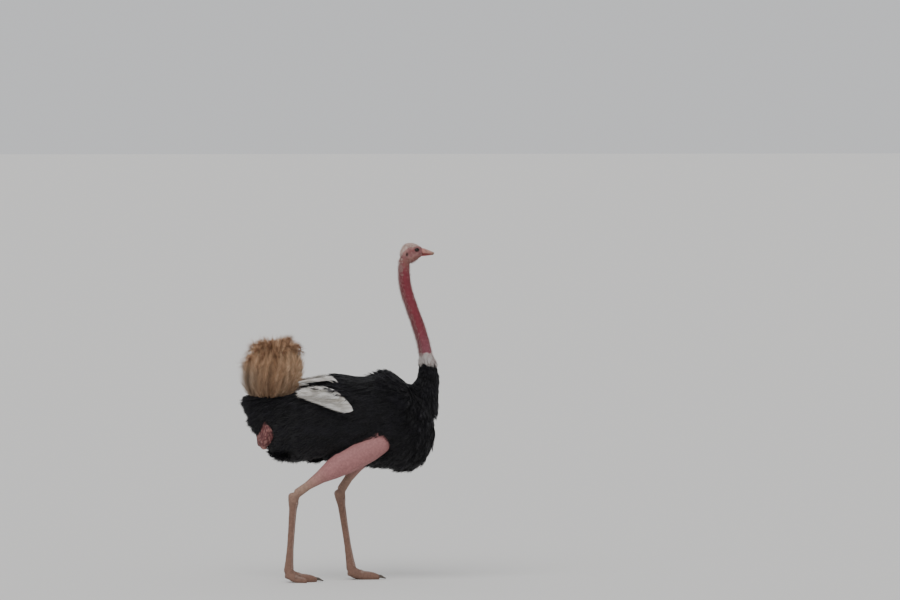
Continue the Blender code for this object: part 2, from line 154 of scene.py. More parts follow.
# %% Mesh helpers
def object_from(name, mesh):
    made = bpy.data.objects.new(name, mesh)
    bpy.context.scene.collection.objects.link(made)
    return made


def mesh_taken(piece):
    """The object's mesh. The object itself is removed."""
    mesh = piece.data
    bpy.data.objects.remove(piece)
    return mesh


def frozen(piece):
    """Applies the object's modifiers to its mesh."""
    graph = bpy.context.evaluated_depsgraph_get()
    mesh = bpy.data.meshes.new_from_object(piece.evaluated_get(graph))
    piece.modifiers.clear()
    old = piece.data
    piece.data = mesh
    bpy.data.meshes.remove(old)
    return piece


@contextmanager
def edited(mesh):
    """Opens a mesh for building, and writes it back at the end."""
    built = bmesh.new()
    built.from_mesh(mesh)
    yield built
    built.to_mesh(mesh)
    built.free()


def add_faces(built, *lines):
    """Faces that take one corner from each line of points, step by step."""
    for corners in zip(*lines):
        built.faces.new(corners)


def next_ones(ring):
    """The neighbour of each point of a closed ring."""
    return ring[1:] + ring[:1]


def triangles(mesh):
    return sum(len(p.vertices) - 2 for p in mesh.polygons)


def copy_of(name, nodes):
    """One object with welded copies of some of the frame's solids."""
    mesh = bpy.data.meshes.new(name)
    with edited(mesh) as built:
        for node in nodes:
            built.from_mesh(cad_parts[node].data)
        bmesh.ops.remove_doubles(built, verts=built.verts, dist=1e-6)
    return object_from(name, mesh)


def remeshed(piece, voxel, smoothing):
    """Fuses the object into one even surface and smooths it."""
    fuse = piece.modifiers.new("fuse", "REMESH")
    fuse.mode, fuse.voxel_size = "VOXEL", voxel
    soften = piece.modifiers.new("soften", "SMOOTH")
    soften.factor, soften.iterations = 0.5, smoothing
    frozen(piece)
    print(piece.name, "fused to", triangles(piece.data), "triangles")
    return piece


def vectors_of(items, field):
    """A vector of each of a mesh's points or faces, as the rows of an array."""
    flat = np.empty(len(items) * 3, np.float32)
    items.foreach_get(field, flat)
    return flat.reshape(-1, 3).astype(float)


def coordinates(mesh):
    return vectors_of(mesh.vertices, "co")


def points_and_normals(mesh):
    return coordinates(mesh), vectors_of(mesh.vertex_normals, "vector")


def set_coordinates(mesh, points):
    mesh.vertices.foreach_set("co", points.astype(np.float32).ravel())
    mesh.update()


# %% Number helpers
def smoothstep(low, high, value):
    t = np.clip((value - low) / (high - low), 0.0, 1.0)
    return t * t * (3 - 2 * t)


def bell(*parts):
    """1 where every value is 0, with a soft fall over each value's width."""
    return np.exp(-sum((value / width) ** 2 for value, width in parts))


def noise_at(points, *scales):
    """Smooth noise at each point, finer along an axis with a larger scale."""
    return np.array([noise.noise(Vector(p)) for p in points * scales])


def unit(rows):
    return rows / np.linalg.norm(rows, axis=1)[:, None]


def stacked(*parts):
    """The parts side by side for each row. A single number is used for every row."""
    return np.stack(np.broadcast_arrays(*parts), axis=1)


def repeated(values, count):
    return np.tile(np.array(values, float), (count, 1))


def sided(place, side):
    """A place on the bird's left side, or its mirror image on the right."""
    return np.array(place) * [1.0, side, 1.0]


# %% Body under the coat
SIDES = (("right", -1.0), ("left", 1.0))
BODY_VOXEL, COAT_DEPTH = 0.012, 0.028
BELLY_LEVEL = 0.715  # the thighs are cut off here, and the legs' own surface goes on below
NECK_COAT = ([1.18, 1.30, 1.345], [0.020, 0.015, 0.013])  # heights, and the coat's depth there
THROAT = [  # centre X, Z, half depth, half width: the neck's own way down under the white ring
    (0.529, 1.488, 0.034, 0.031), (0.540, 1.440, 0.0385, 0.0355), (0.546, 1.400, 0.0425, 0.0400),
    (0.552, 1.361, 0.0470, 0.0450), (0.556, 1.330, 0.0520, 0.0500), (0.556, 1.285, 0.0570, 0.0560),
]
THROAT_SIDES = 24


def add_throat(built):
    """A closed tube down the throat's stations."""
    turns = [2 * math.pi * k / THROAT_SIDES for k in range(THROAT_SIDES)]
    rings = [
        [built.verts.new((x + depth * math.cos(t), width * math.sin(t), z)) for t in turns]
        for x, z, depth, width in THROAT
    ]
    for upper, lower in zip(rings, rings[1:]):
        add_faces(built, upper, lower, next_ones(lower), next_ones(upper))
    built.faces.new(rings[0])
    built.faces.new(rings[-1][::-1])


body = copy_of("body", [
    "trunk", "wing_left", "wing_right", "neck_base", "vent", "drumstick_left", "drumstick_right",
])
remeshed(body, BODY_VOXEL, 3)
points, normals = points_and_normals(body.data)
in_front = smoothstep(0.38, 0.42, points[:, 0])
depth = COAT_DEPTH + in_front * (np.interp(points[:, 2], *NECK_COAT) - COAT_DEPTH)
set_coordinates(body.data, points - depth[:, None] * normals)
with edited(body.data) as built:
    bmesh.ops.bisect_plane(
        built, geom=built.verts[:] + built.edges[:] + built.faces[:],
        plane_co=(0, 0, BELLY_LEVEL), plane_no=(0, 0, -1), clear_outer=True,
    )
    bmesh.ops.holes_fill(built, edges=[e for e in built.edges if e.is_boundary])
    add_throat(built)
remeshed(body, BODY_VOXEL, 6)

# %% Vent and its hanging tip
VENT_VOXEL, VENT_SHRINK = 0.0048, [0.88, 0.86, 0.94]
VENT_MIDDLE = np.array([-0.466, 0.0, 0.935])
VENT_TIP = Matrix.Translation((-0.474, 0.0, 0.868)) @ Matrix.Diagonal((0.020, 0.030, 0.040, 1.0))
VENT_CREASES = (90, 70, 38)  # how fine the creases are along X, Y and Z

vent = copy_of("vent skin", ["vent"])
with edited(vent.data) as built:
    bmesh.ops.create_uvsphere(built, u_segments=16, v_segments=10, radius=1.0, matrix=VENT_TIP)
remeshed(vent, VENT_VOXEL, 4)
points, normals = points_and_normals(vent.data)
points = VENT_MIDDLE + (points - VENT_MIDDLE) * VENT_SHRINK
lumps, creases = noise_at(points, 40, 34, 20), abs(noise_at(points, *VENT_CREASES))
set_coordinates(vent.data, points + (0.010 * lumps + 0.007 * creases - 0.005)[:, None] * normals)

# %% Legs and feet
LEG_VOXEL = 0.0055
THIGH_COAT, THIGH_SINK = 0.935, 0.031  # above this height the thigh goes under the coat
SOLE = 0.0035  # what lies lower is flat
TOES = {  # how far each toe turns out, and the length of its taper
    "toe_large_": (math.radians(-2.0), 0.050), "toe_small_": (math.radians(27.0), 0.040),
}
TOE_NARROWS, TOE_LOWERS = 0.32, 0.10  # shares of its width and height that the tip loses


def level_heading(turn, side):
    return np.array([math.cos(turn), side * math.sin(turn), 0.0])


legs = copy_of("legs", [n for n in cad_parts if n.startswith(("drumstick", "shank", "toe"))])
remeshed(legs, LEG_VOXEL, 7)
points, normals = points_and_normals(legs.data)
points[:, 2] = np.where(points[:, 2] < SOLE, 0.0, points[:, 2])
for side_name, side in SIDES:
    for toe, (turn, taper) in TOES.items():
        ahead = level_heading(turn, side)
        across = np.array([-ahead[1], ahead[0], 0.0])
        node = coordinates(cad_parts[toe + side_name].data)
        tip = (node @ ahead).max()
        line = (node[node @ ahead > tip - 0.02] @ across).mean()
        off = points @ across - line
        share = smoothstep(tip - taper, tip + 0.004, points @ ahead)
        share *= (np.abs(off) < 0.040) & (points[:, 2] < 0.08)
        points -= (TOE_NARROWS * share * off)[:, None] * across
        points[:, 2] *= 1.0 - TOE_LOWERS * share
under = smoothstep(THIGH_COAT - 0.02, THIGH_COAT + 0.02, points[:, 2])
set_coordinates(legs.data, points - THIGH_SINK * under[:, None] * normals)

# %% [markdown]
# ## Head and neck
# The head needs more detail than the neck, so after the remesh its faces are divided once
# more. Features are then pressed in or raised along the normals: the rim round each eye, the
# brow, the fold at the corner of the mouth, the ear openings and the wrinkles of the neck.
# Functions of the distance to a feature do this evenly on both sides.

# %% Head and neck, first shape
HEAD_VOXEL = 0.0033
HEAD_LEVEL, DIVIDED_LEVEL = 1.980, 1.985  # above these the head is smoothed, and divided
EYE, EYE_RADIUS = np.array([0.480, 0.0225, 2.085]), 0.0208

neck = copy_of("neck", ["head", "neck_upper", "neck_middle", "neck_lower", "ear_left", "ear_right"])
with edited(neck.data) as built:
    add_throat(built)
    for _, side in SIDES:  # the skin goes over the ball of the eye as well, and is opened below
        bmesh.ops.create_uvsphere(
            built, u_segments=32, v_segments=20, radius=EYE_RADIUS + 0.0016,
            matrix=Matrix.Translation(sided(EYE, side)),
        )
remeshed(neck, HEAD_VOXEL, 9)
with edited(neck.data) as built:
    edges = [e for e in built.edges if all(v.co.z > DIVIDED_LEVEL for v in e.verts)]
    bmesh.ops.subdivide_edges(built, edges=edges, cuts=1, use_grid_fill=True)
    verts = [v for v in built.verts if v.co.z > HEAD_LEVEL]
    for _ in range(4):
        bmesh.ops.smooth_vert(
            built, verts=verts, factor=0.5, use_axis_x=True, use_axis_y=True, use_axis_z=True
        )
print("head divided, now", triangles(neck.data), "triangles")

# %% Head and neck, features
EAR = np.array([0.418, 0.032, 2.056])
GAPE = np.array([0.489, 0.0, 2.0545])
EYE_PRESS, EYE_OPEN = 0.0055, (0.71, 0.80)  # depth, and the edge as a cosine from the ball's axis

points, normals = points_and_normals(neck.data)
x, y, z = points.T
on_side = smoothstep(0.012, 0.020, np.abs(y))
# the rim and the brow round the eye
eye_far = np.hypot(x - EYE[0], z - EYE[2])
above = np.clip((z - EYE[2]) / np.maximum(eye_far, 1e-6), 0.0, 1.0)
raised = 0.0007 * bell((eye_far - 0.0255, 0.0028)) * on_side
raised += 0.0012 * above * bell((eye_far - 0.0240, 0.0045)) * on_side
# the cheek's hollow between eye and ear, and the fold behind the mouth
raised -= 0.0016 * (bell((x - 0.452, 0.010), (z - 2.066, 0.012)) * on_side)
fold = z - (GAPE[2] - 0.35 * (GAPE[0] - x))
fold_reach = smoothstep(0.462, 0.480, x)
raised -= 0.0016 * bell((fold, 0.0020)) * fold_reach * (z > 2.03)
raised += 0.0008 * bell((fold + 0.0050, 0.0030)) * fold_reach * (z > 2.03)
# the ear's opening and its rim
ear_far = np.hypot((x - EAR[0]) / 0.0058, (z - EAR[2]) / 0.0092)
raised -= 0.0048 * bell((ear_far, 1.0)) * on_side
raised += 0.0010 * bell((ear_far - 1.5, 0.35)) * on_side
# wrinkles across the neck, closer on its hollow side, and long soft folds down it
wrinkles, folds = noise_at(points, 14, 14, 150), noise_at(points, 75, 75, 9)
raised += smoothstep(2.02, 1.97, z) * (0.0011 * wrinkles + 0.0012 * folds)
points += raised[:, None] * normals
points[:, 1] *= 1.0 + 0.05 * smoothstep(0.498, 0.514, x)  # the rim of skin round the bill
# the skin over each ball is pressed in where the eye is open, and the lids cover the edge
for _, side in SIDES:
    out = points - sided(EYE, side)
    far = np.linalg.norm(out, axis=1)
    pressed = EYE_PRESS * smoothstep(*EYE_OPEN, side * out[:, 1] / far) * (far < 0.026)
    points -= (pressed / far)[:, None] * out
set_coordinates(neck.data, points)
print("raised up to", round(float(raised.max()) * 1000, 2), "mm")

# %% One skin
def united(first, *others):
    for other in others:
        join = first.modifiers.new("join", "BOOLEAN")
        join.operation, join.solver, join.object = "UNION", "MANIFOLD", other
        frozen(first)
        bpy.data.objects.remove(other)
    return first


skin = united(neck, body.copy(), vent, legs)
print("skin", triangles(skin.data), "triangles")

# %% [markdown]
# ## Colours of the skin
# The skin changes colour by region: pale down on the crown, a grey-pink face, a deep red
# neck that fades to mauve above the white ring, pink legs that turn grey towards the ankle,
# and dark skin under the coat. The regions are written to the vertices as an attribute,
# because they follow the bird's shape. The shader then adds the fine mottling and the
# pebbled grain, which are too small for vertices.

# %% Tones and the legs' lines
CROWN, FACE, RED = linear(204, 176, 166), linear(134, 90, 89), linear(138, 52, 52)
# the ear's dark tone is painted shade in the ear's opening
CHEEK, JAW, EAR_HOLE_SHADE = linear(164, 128, 120), linear(128, 88, 78), linear(78, 52, 50)
EYELID, LID_RIM = linear(112, 78, 76), linear(72, 46, 45)
NECK_RED, NECK_MAUVE, RING_SKIN = linear(122, 50, 60), linear(130, 74, 84), linear(190, 168, 164)
LEG_PINK, LEG_GREY, SHANK_GREY = linear(162, 114, 113), linear(158, 130, 114), linear(134, 104, 90)
# the vent's darkest tone is painted shade for its creases, and its pale tone is also painted
# highlight on the raised skin
VENT_PINK, VENT_PALE, VENT_CREASE_SHADE = linear(106, 64, 64), linear(164, 122, 114), linear(74, 44, 46)
UNDERCOAT = linear(24, 22, 25)

LEG_STOPS = {  # knee, ankle and foot of each leg, as if both were on the left
    -1.0: ((0.242, 0.160, 0.872), (-0.309, 0.105, 0.545), (-0.340, 0.090, 0.0)),
    1.0: ((0.355, 0.150, 1.015), (0.006, 0.105, 0.552), (0.078, 0.090, 0.0)),
}


def leg_line(side, part):
    """The two ends of the drumstick, part 0, or of the shank, part 1."""
    return [sided(stop, side) for stop in LEG_STOPS[side][part:part + 2]]


def nearest_on(points, start, end):
    """For each point: its share of the way along a line, the nearest place, and how far off."""
    line = end - start
    share = np.clip((points - start) @ line / (line @ line), 0.0, 1.0)
    nearest = start + share[:, None] * line
    return share, nearest, np.linalg.norm(points - nearest, axis=1)


def blended(base, *layers):
    """Lays colours over a base, each with its amount at every point."""
    for colour, amount in layers:
        base = base + amount[:, None] * (np.array(colour) - base)
    return base


def keep_values(mesh, name, values):
    """Keeps a number, vector or colour for each of the mesh's points."""
    width = values.shape[1] if values.ndim > 1 else 1
    kind, field = {
        1: ("FLOAT", "value"), 3: ("FLOAT_VECTOR", "vector"), 4: ("FLOAT_COLOR", "color"),
    }[width]
    layer = mesh.attributes.new(name, kind, "POINT")
    layer.data.foreach_set(field, values.astype(np.float32).ravel())


# %% Colour by region
def crown_slope(x):
    """How far the crown's lower edge falls behind the eye."""
    return 0.10 * np.clip(x - 0.47, -0.1, 0.0) - 0.9 * np.clip(0.425 - x, 0.0, 0.1)


points = coordinates(skin.data)
x, y, z = points.T
speckle, count = noise_at(points, 60), len(points)
colour = repeated(UNDERCOAT, count)
# legs, from the drumstick's pink to the grey of the ankle and the shank
leg_grey, bare_leg = np.zeros(count), np.zeros(count)
for _, side in SIDES:
    for part, girth in enumerate((0.092, 0.11)):
        share, _, far = nearest_on(points, *leg_line(side, part))
        near = far < girth
        bare_leg = np.maximum(bare_leg, near * (z < 0.80 if part else True))
        grey = np.ones(count) if part else smoothstep(0.55, 0.95, share)
        leg_grey = np.where(near, np.maximum(leg_grey, grey), leg_grey)
leg_colour = blended(
    repeated(LEG_PINK, count), (LEG_GREY, leg_grey), (SHANK_GREY, smoothstep(0.60, 0.45, z))
)
bare_leg = np.maximum(bare_leg, z < 0.14) * (z < THIGH_COAT + 0.02)
colour = np.where((bare_leg > 0)[:, None], leg_colour, colour)
# vent and neck; on the vent the bottoms of the creases get painted shade, and the raised skin
# between them gets paler as painted highlight
vent_far = np.hypot((x - VENT_MIDDLE[0]) / 0.075, (z - VENT_MIDDLE[2]) / 0.125)
at_vent = smoothstep(1.10, 0.90, vent_far) * (x < -0.36)
creases = abs(noise_at(points, *VENT_CREASES))
at_tip = smoothstep(0.862, 0.840, z) * (np.abs(x + 0.474) < 0.03) * (np.abs(y) < 0.05)
on_neck = smoothstep(1.362, 1.385, z) * (x > 0.3)
colour = blended(
    colour, (VENT_PINK, at_vent), (VENT_CREASE_SHADE, at_vent * smoothstep(0.12, 0.0, creases)),
    (VENT_PALE, 0.6 * at_vent * smoothstep(0.28, 0.50, creases)), (VENT_PALE, at_tip),
    (NECK_MAUVE, on_neck), (NECK_RED, on_neck * smoothstep(1.44, 1.62, z + 0.05 * speckle)),
    (RING_SKIN, on_neck * smoothstep(1.440, 1.430, z + 0.010 * speckle)),
)
# head
behind_eye = bell((x - 0.455, 0.016), (z - 2.078 - 0.25 * (x - 0.455), 0.008))
eye_far = np.hypot(x - EYE[0], z - EYE[2])
crown = smoothstep(-0.010, 0.012, z - (2.105 + crown_slope(x)) + 0.006 * speckle)
crown *= smoothstep(0.512, 0.496, x + 0.004 * speckle) * smoothstep(0.0200, 0.0250, eye_far)
brow = bell((eye_far - 0.0225, 0.0040)) * smoothstep(2.086, 2.100, z)
# the ear's opening is painted dark, as painted shade in the hole
ear = bell((np.hypot((x - EAR[0]) / 0.0062, (z - EAR[2]) / 0.0105), 1.0))
face = blended(
    repeated(FACE, count), (JAW, smoothstep(2.048, 2.030, z - 0.25 * (x - 0.45)) * 0.6),
    (RED, np.clip(behind_eye * (0.55 + 0.9 * speckle), 0, 1)),
    (CHEEK, 0.45 * smoothstep(0.0, 0.35, noise_at(points, 45))), (CROWN, crown),
    (EYELID, 0.45 * brow), (EAR_HOLE_SHADE, np.clip(1.5 * ear, 0, 1)),
)
on_head = smoothstep(1.925, 2.035, z + 0.5 * (x - 0.41) + 0.03 * speckle)
colour = np.where((z > 1.6)[:, None], blended(colour, (face, on_head)), colour)
keep_values(skin.data, "region", colour)
print("coloured", count, "points")


# %% Finish helpers
WHITE = (1, 1, 1, 1)


def object_place(tree):
    return add_node(tree, "ShaderNodeTexCoord").outputs["Object"]


def stored(tree, name, output="Fac"):
    """What the mesh keeps under that name: Fac for a number, Color for a colour."""
    return add_node(tree, "ShaderNodeAttribute", attribute_name=name).outputs[output]


def axis(tree, vector, letter):
    return add_node(tree, "ShaderNodeSeparateXYZ", {"Vector": vector}).outputs[letter]


def maths(tree, kind, first, second):
    return add_node(tree, "ShaderNodeMath", {0: first, 1: second}, operation=kind).outputs[0]


def ranged(tree, value, start, end, top=1.0):
    """0 where the value is at the start, and the top where it is at the end."""
    inputs = {"Value": value, "From Min": start, "From Max": end, "To Max": top}
    return add_node(tree, "ShaderNodeMapRange", inputs).outputs["Result"]


def grain(tree, place, scale, detail=3.0, stretch=(1.0, 1.0, 1.0)):
    """Noise that can be drawn out along an axis."""
    turn = add_node(tree, "ShaderNodeMapping", {"Vector": place, "Scale": stretch})
    return add_node(
        tree, "ShaderNodeTexNoise",
        {"Vector": turn.outputs["Vector"], "Scale": scale, "Detail": detail, "Roughness": 0.6},
    ).outputs["Fac"]


def ramp(tree, factor, *stops):
    """A colour ramp. Each stop is a position, then red, green and blue."""
    made = add_node(tree, "ShaderNodeValToRGB", {"Fac": factor})
    elements = made.color_ramp.elements
    while len(elements) < len(stops):
        elements.new(0.5)
    for element, (place, *colour) in zip(elements, stops):
        element.position, element.color = place, (*colour[:3], 1.0)
    return made.outputs["Color"]


def tones(tree, factor, *stops):
    """A colour ramp whose colours are given as 0 to 255 on screen."""
    return ramp(tree, factor, *[(place, *linear(*colour)) for place, *colour in stops])


def cells(tree, place, scale, edge):
    """Small cells like pebbles, dark along their edges."""
    made = add_node(
        tree, "ShaderNodeTexVoronoi", {"Vector": place, "Scale": scale}, feature="DISTANCE_TO_EDGE"
    )
    return ramp(tree, made.outputs["Distance"], (0.0, 0, 0, 0), (edge, 1, 1, 1))


def mixed(tree, factor, first, second, kind="MIX"):
    return socket_named(add_node(
        tree, "ShaderNodeMix", {"Factor": factor, "A": first, "B": second},
        data_type="RGBA", blend_type=kind,
    ).outputs, "Result")


def multiplied(tree, base, *others):
    for other in others:
        base = mixed(tree, 1.0, base, other, "MULTIPLY")
    return base


def bumped(tree, height, distance, strength, below=None):
    inputs = {"Height": height, "Distance": distance, "Strength": strength}
    if below:
        inputs["Normal"] = below
    return add_node(tree, "ShaderNodeBump", inputs).outputs["Normal"]


def as_piece(name, mesh, finish, replaces=()):
    """Gives a mesh its finish and enters it as a piece that rides on the root."""
    piece = object_from(name, mesh)
    mesh.name = name
    mesh.materials.clear()
    mesh.materials.append(finish)
    mesh.shade_smooth()
    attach(piece, "root")
    if replaces:
        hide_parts(*replaces)
    print(name, triangles(mesh), "triangles", finish.name)
    return piece


# %% Skin finish
skin_finish, tree, shader = new_material("bird_skin", 0.60)
place = object_place(tree)
mottle = ramp(
    tree, grain(tree, place, 70.0, 4.0), (0.30, 0.78, 0.76, 0.76), (0.72, 1.12, 1.10, 1.10)
)
fine = ramp(
    tree, grain(tree, place, 420.0, 2.0), (0.35, 0.88, 0.87, 0.87), (0.65, 1.08, 1.08, 1.08)
)
pebbles = cells(tree, place, 330.0, 0.25)
low_leg = ranged(tree, axis(tree, place, "Z"), 0.66, 0.50)
scaly = mixed(tree, low_leg, WHITE, cells(tree, place, 175.0, 0.10))
creases = grain(tree, place, 60.0, 5.0, (1.0, 1.0, 3.0))
relief = bumped(tree, creases, 0.0013, 0.7, bumped(tree, pebbles, 0.0004, 0.7))
feed(tree, shader, {
    "Base Color": multiplied(
        tree, stored(tree, "region", "Color"), mottle, fine, mixed(tree, 0.24, WHITE, scaly)),
    "Normal": bumped(tree, scaly, 0.0009, 0.9, relief),
    "Specular IOR Level": 0.22,
})
skin = as_piece("skin", mesh_taken(skin), skin_finish, (
    "head", "neck_upper", "neck_middle", "neck_lower", "neck_base", "trunk", "vent",
    "drumstick_left", "drumstick_right", "shank_left", "shank_right", "toe_large_left",
    "toe_large_right", "toe_small_left", "toe_small_right", "ear_left", "ear_right",
))

# %% [markdown]
# ## The coat
# An ostrich's feathers have loose barbs that don't hook together, so each feather is a soft
# fringe and not a blade. A tuft here is a fan of thin closed spikes along a curved line, with
# no shaft, because a shaft never shows through the fringe. A few different tufts are made as
# arrays, and Geometry Nodes spread them over the body: points with a least distance between
# them, turned to lie along the coat, are given a tuft each, and the instances are made real.
# Every tuft also gets a small patch of the map named OFBake at its root's place on an unwrap
# of the body, so that its colours can be baked.

# %% Spikes
UP = np.array([0.0, 0.0, 1.0])
SPIKE = np.array([(0, 1, 2), (1, 3, 2), (0, 3, 1), (0, 2, 3)])  # the faces of four points


def across_and_up(along, ups):
    """The directions across a feather and away from the surface under it."""
    across = unit(np.cross(ups, along))
    return across, np.cross(along, across)


def faces_of(shape, count):
    """The faces of many pieces of one shape, each with points of its own."""
    starts = (shape.max() + 1) * np.arange(count)
    return (starts[:, None, None] + shape).reshape(-1, 3)


def spikes(roots, tips, ups, widths, thickness):
    """Closed spikes of four triangles, pointed at both ends, as arrays of points and faces."""
    across, up = across_and_up(unit(tips - roots), ups)
    half = 0.5 * widths[:, None] * across
    broad = roots + 0.3 * (tips - roots) + thickness * up
    points = stacked(roots, broad - half, broad + half, tips)
    return points.reshape(-1, 3), faces_of(SPIKE, len(roots))


def mesh_of(name, points, faces, layers):
    """A triangle mesh from arrays, with maps given per point."""
    mesh = bpy.data.meshes.new(name)
    mesh.vertices.add(len(points))
    mesh.vertices.foreach_set("co", points.astype(np.float32).ravel())
    mesh.loops.add(faces.size)
    mesh.loops.foreach_set("vertex_index", faces.astype(np.int32).ravel())
    mesh.polygons.add(len(faces))
    mesh.polygons.foreach_set("loop_start", np.arange(0, faces.size, 3, dtype=np.int32))
    for layer, values in layers.items():
        made = mesh.uv_layers.new(name=layer)
        made.data.foreach_set("uv", values[faces.ravel()].astype(np.float32).ravel())
    mesh.update(calc_edges=True)
    mesh.validate()
    return mesh


# %% Tufts
UNIT = 0.10  # length that tufts and hairs are drawn at; each is scaled to its place
ROOT_SINK = 0.018  # share of the length that a tuft starts under the skin


def alternating(count):
    return np.where(np.arange(count) % 2 == 0, 1.0, -1.0)


def tuft(draw, length, count, spread, curve, width, barb, thin=0.0012):
    """A fan of spikes that lies along +X, with +Z away from the body."""
    share, side = np.linspace(0.0, 0.70, count), alternating(count)
    turn = share * length / curve
    middle = stacked(curve * np.sin(turn), 0.0, -curve * (1 - np.cos(turn)))
    tangent = stacked(np.cos(turn), 0.0, -np.sin(turn))
    angle = side * spread * (1.0 - 0.65 * share) * draw.uniform(0.55, 1.25, count)
    angle[-1] *= 0.2
    reach = length * (barb + (0.30 - barb * 0.2) * share) * draw.uniform(0.85, 1.12, count)
    reach = np.minimum(reach, length * (1.02 - share))
    across = np.array([0.0, 1.0, 0.0])
    heading = np.cos(angle)[:, None] * tangent + np.sin(angle)[:, None] * across
    heading[:, 2] += draw.uniform(-0.10, 0.06, count)
    roots = middle + across * (side * draw.uniform(0.0, 0.05, count) * length * spread)[:, None]
    roots[:, 2] -= ROOT_SINK * length * (1.0 - share)
    tips = roots + reach[:, None] * heading
    tips[:, 2] -= reach ** 2 / (2 * curve)
    ups = UP + draw.normal(0, 0.25, (count, 3))
    points, faces = spikes(roots, tips, ups, width * draw.uniform(0.8, 1.2, count), thin)
    local = stacked(0.5 + points[:, 1] / (0.6 * length), points[:, 0] / length)
    return points, faces, {"tuft": np.clip(local, 0, 1)}


def variants(name, kinds, seed, make, **shape):
    """A collection of different tufts or hairs, kept out of the scene."""
    made = bpy.data.collections.new(name)
    for k in range(kinds):
        mesh = mesh_of(f"{name}_{k}", *make(np.random.default_rng(seed + k), **shape))
        made.objects.link(bpy.data.objects.new(f"{name}_{k}", mesh))
    print(name, kinds, "kinds of", len(mesh.polygons), "triangles")
    return made


body_tufts = variants(
    "body tufts", 6, 11, tuft,
    length=UNIT, count=18, spread=0.45, curve=0.24, width=0.0046, barb=0.42,
)


# %% Helpers for Geometry Nodes
def new_tree(name, inputs, output):
    """A tree with named inputs. Returned with what it is given and where its result goes."""
    tree = bpy.data.node_groups.new(name, "GeometryNodeTree")
    for key, kind in inputs.items():
        tree.interface.new_socket(name=key, in_out="INPUT", socket_type="NodeSocket" + kind)
    tree.interface.new_socket(name=output, in_out="OUTPUT", socket_type="NodeSocketGeometry")
    given = tree.nodes.new("NodeGroupInput").outputs
    return tree, given, tree.nodes.new("NodeGroupOutput").inputs[0]


def field(tree, name, kind="FLOAT"):
    """What the geometry keeps under that name."""
    return socket_named(add_node(
        tree, "GeometryNodeInputNamedAttribute", {"Name": name}, data_type=kind
    ).outputs, "Attribute")


def stored_as(tree, geometry, name, value, kind, domain):
    """The geometry with a value kept under that name."""
    return add_node(
        tree, "GeometryNodeStoreNamedAttribute",
        {"Geometry": geometry, "Name": name, "Value": value}, data_type=kind, domain=domain,
    ).outputs[0]


def chance(tree, seed, low, high, offset):
    """A random number for each instance."""
    seed = maths(tree, "ADD", seed, offset)
    return socket_named(add_node(
        tree, "FunctionNodeRandomValue", {"Min": low, "Max": high, "Seed": seed},
        data_type="FLOAT",
    ).outputs, "Value")


def vector(tree, x, y, z):
    return add_node(tree, "ShaderNodeCombineXYZ", {"X": x, "Y": y, "Z": z}).outputs[0]


def facing(tree, z_way, x_way):
    """The turn that points Z one way and X as near as it can to the other."""
    return add_node(
        tree, "FunctionNodeAxesToRotation", {"Primary Axis": z_way, "Secondary Axis": x_way},
        primary_axis="Z", secondary_axis="X",
    ).outputs["Rotation"]


def realized(tree, instances):
    return add_node(tree, "GeometryNodeRealizeInstances", {"Geometry": instances}).outputs[0]


def finished(tree, geometry, given, result):
    """Sets the material and ends the tree."""
    inputs = {"Geometry": geometry, "Material": given["Finish"]}
    tree.links.new(add_node(tree, "GeometryNodeSetMaterial", inputs).outputs[0], result)


# %% The tree that spreads tufts
PATCH = 0.003  # width of a tuft's patch on the map
DENSEST = 60000.0  # points on a square metre, before the least distance thins them

spread_tufts, given, result = new_tree("spread tufts", {
    "Surface": "Geometry", "Tufts": "Collection", "Finish": "Material", "Spacing": "Float",
    "Lift": "Float", "Lift Spread": "Float", "Turn Spread": "Float", "Seed": "Int",
}, "Coat")
tree, seed = spread_tufts, given["Seed"]
spread = add_node(
    tree, "GeometryNodeDistributePointsOnFaces",
    {"Mesh": given["Surface"], "Distance Min": given["Spacing"], "Density Max": DENSEST,
     "Density Factor": field(tree, "cover"), "Seed": seed},
    distribute_method="POISSON",
)
# each tuft lies along the coat, and is then lifted and swung a little
lying = facing(tree, spread.outputs["Normal"], field(tree, "lie", "FLOAT_VECTOR"))
wobble = maths(tree, "MULTIPLY", given["Lift Spread"], chance(tree, seed, -1.0, 1.0, 1.0))
rise = maths(tree, "ADD", maths(tree, "MULTIPLY", given["Lift"], field(tree, "lift")), wobble)
swing = maths(tree, "MULTIPLY", given["Turn Spread"], chance(tree, seed, -1.0, 1.0, 2.0))
extra = vector(tree, 0.0, maths(tree, "MULTIPLY", rise, -1.0), swing)
extra = add_node(tree, "FunctionNodeEulerToRotation", {"Euler": extra}).outputs[0]
turned = add_node(
    tree, "FunctionNodeRotateRotation", {"Rotation": lying, "Rotate By": extra},
    rotation_space="LOCAL",
)
size = maths(tree, "MULTIPLY", field(tree, "size"), chance(tree, seed, 0.82, 1.18, 3.0))
tufts = add_node(
    tree, "GeometryNodeCollectionInfo",
    {"Collection": given["Tufts"], "Separate Children": True, "Reset Children": True},
)
placed = add_node(tree, "GeometryNodeInstanceOnPoints", {
    "Points": spread.outputs["Points"], "Instance": tufts.outputs[0], "Pick Instance": True,
    "Rotation": turned.outputs[0], "Scale": vector(tree, size, size, size),
}).outputs[0]
# every tuft keeps a shade of its own and its patch of the map
shade = chance(tree, seed, 0.0, 1.0, 4.0)
real = realized(tree, stored_as(tree, placed, "shade", shade, "FLOAT", "INSTANCE"))
patch = add_node(
    tree, "ShaderNodeVectorMath",
    {0: field(tree, "tuft", "FLOAT_VECTOR"), 1: (PATCH, PATCH, PATCH),
     2: field(tree, "place", "FLOAT_VECTOR")},
    operation="MULTIPLY_ADD",
).outputs[0]
finished(tree, stored_as(tree, real, "OFBake", patch, "FLOAT2", "CORNER"), given, result)
print("tree of", len(tree.nodes), "nodes")


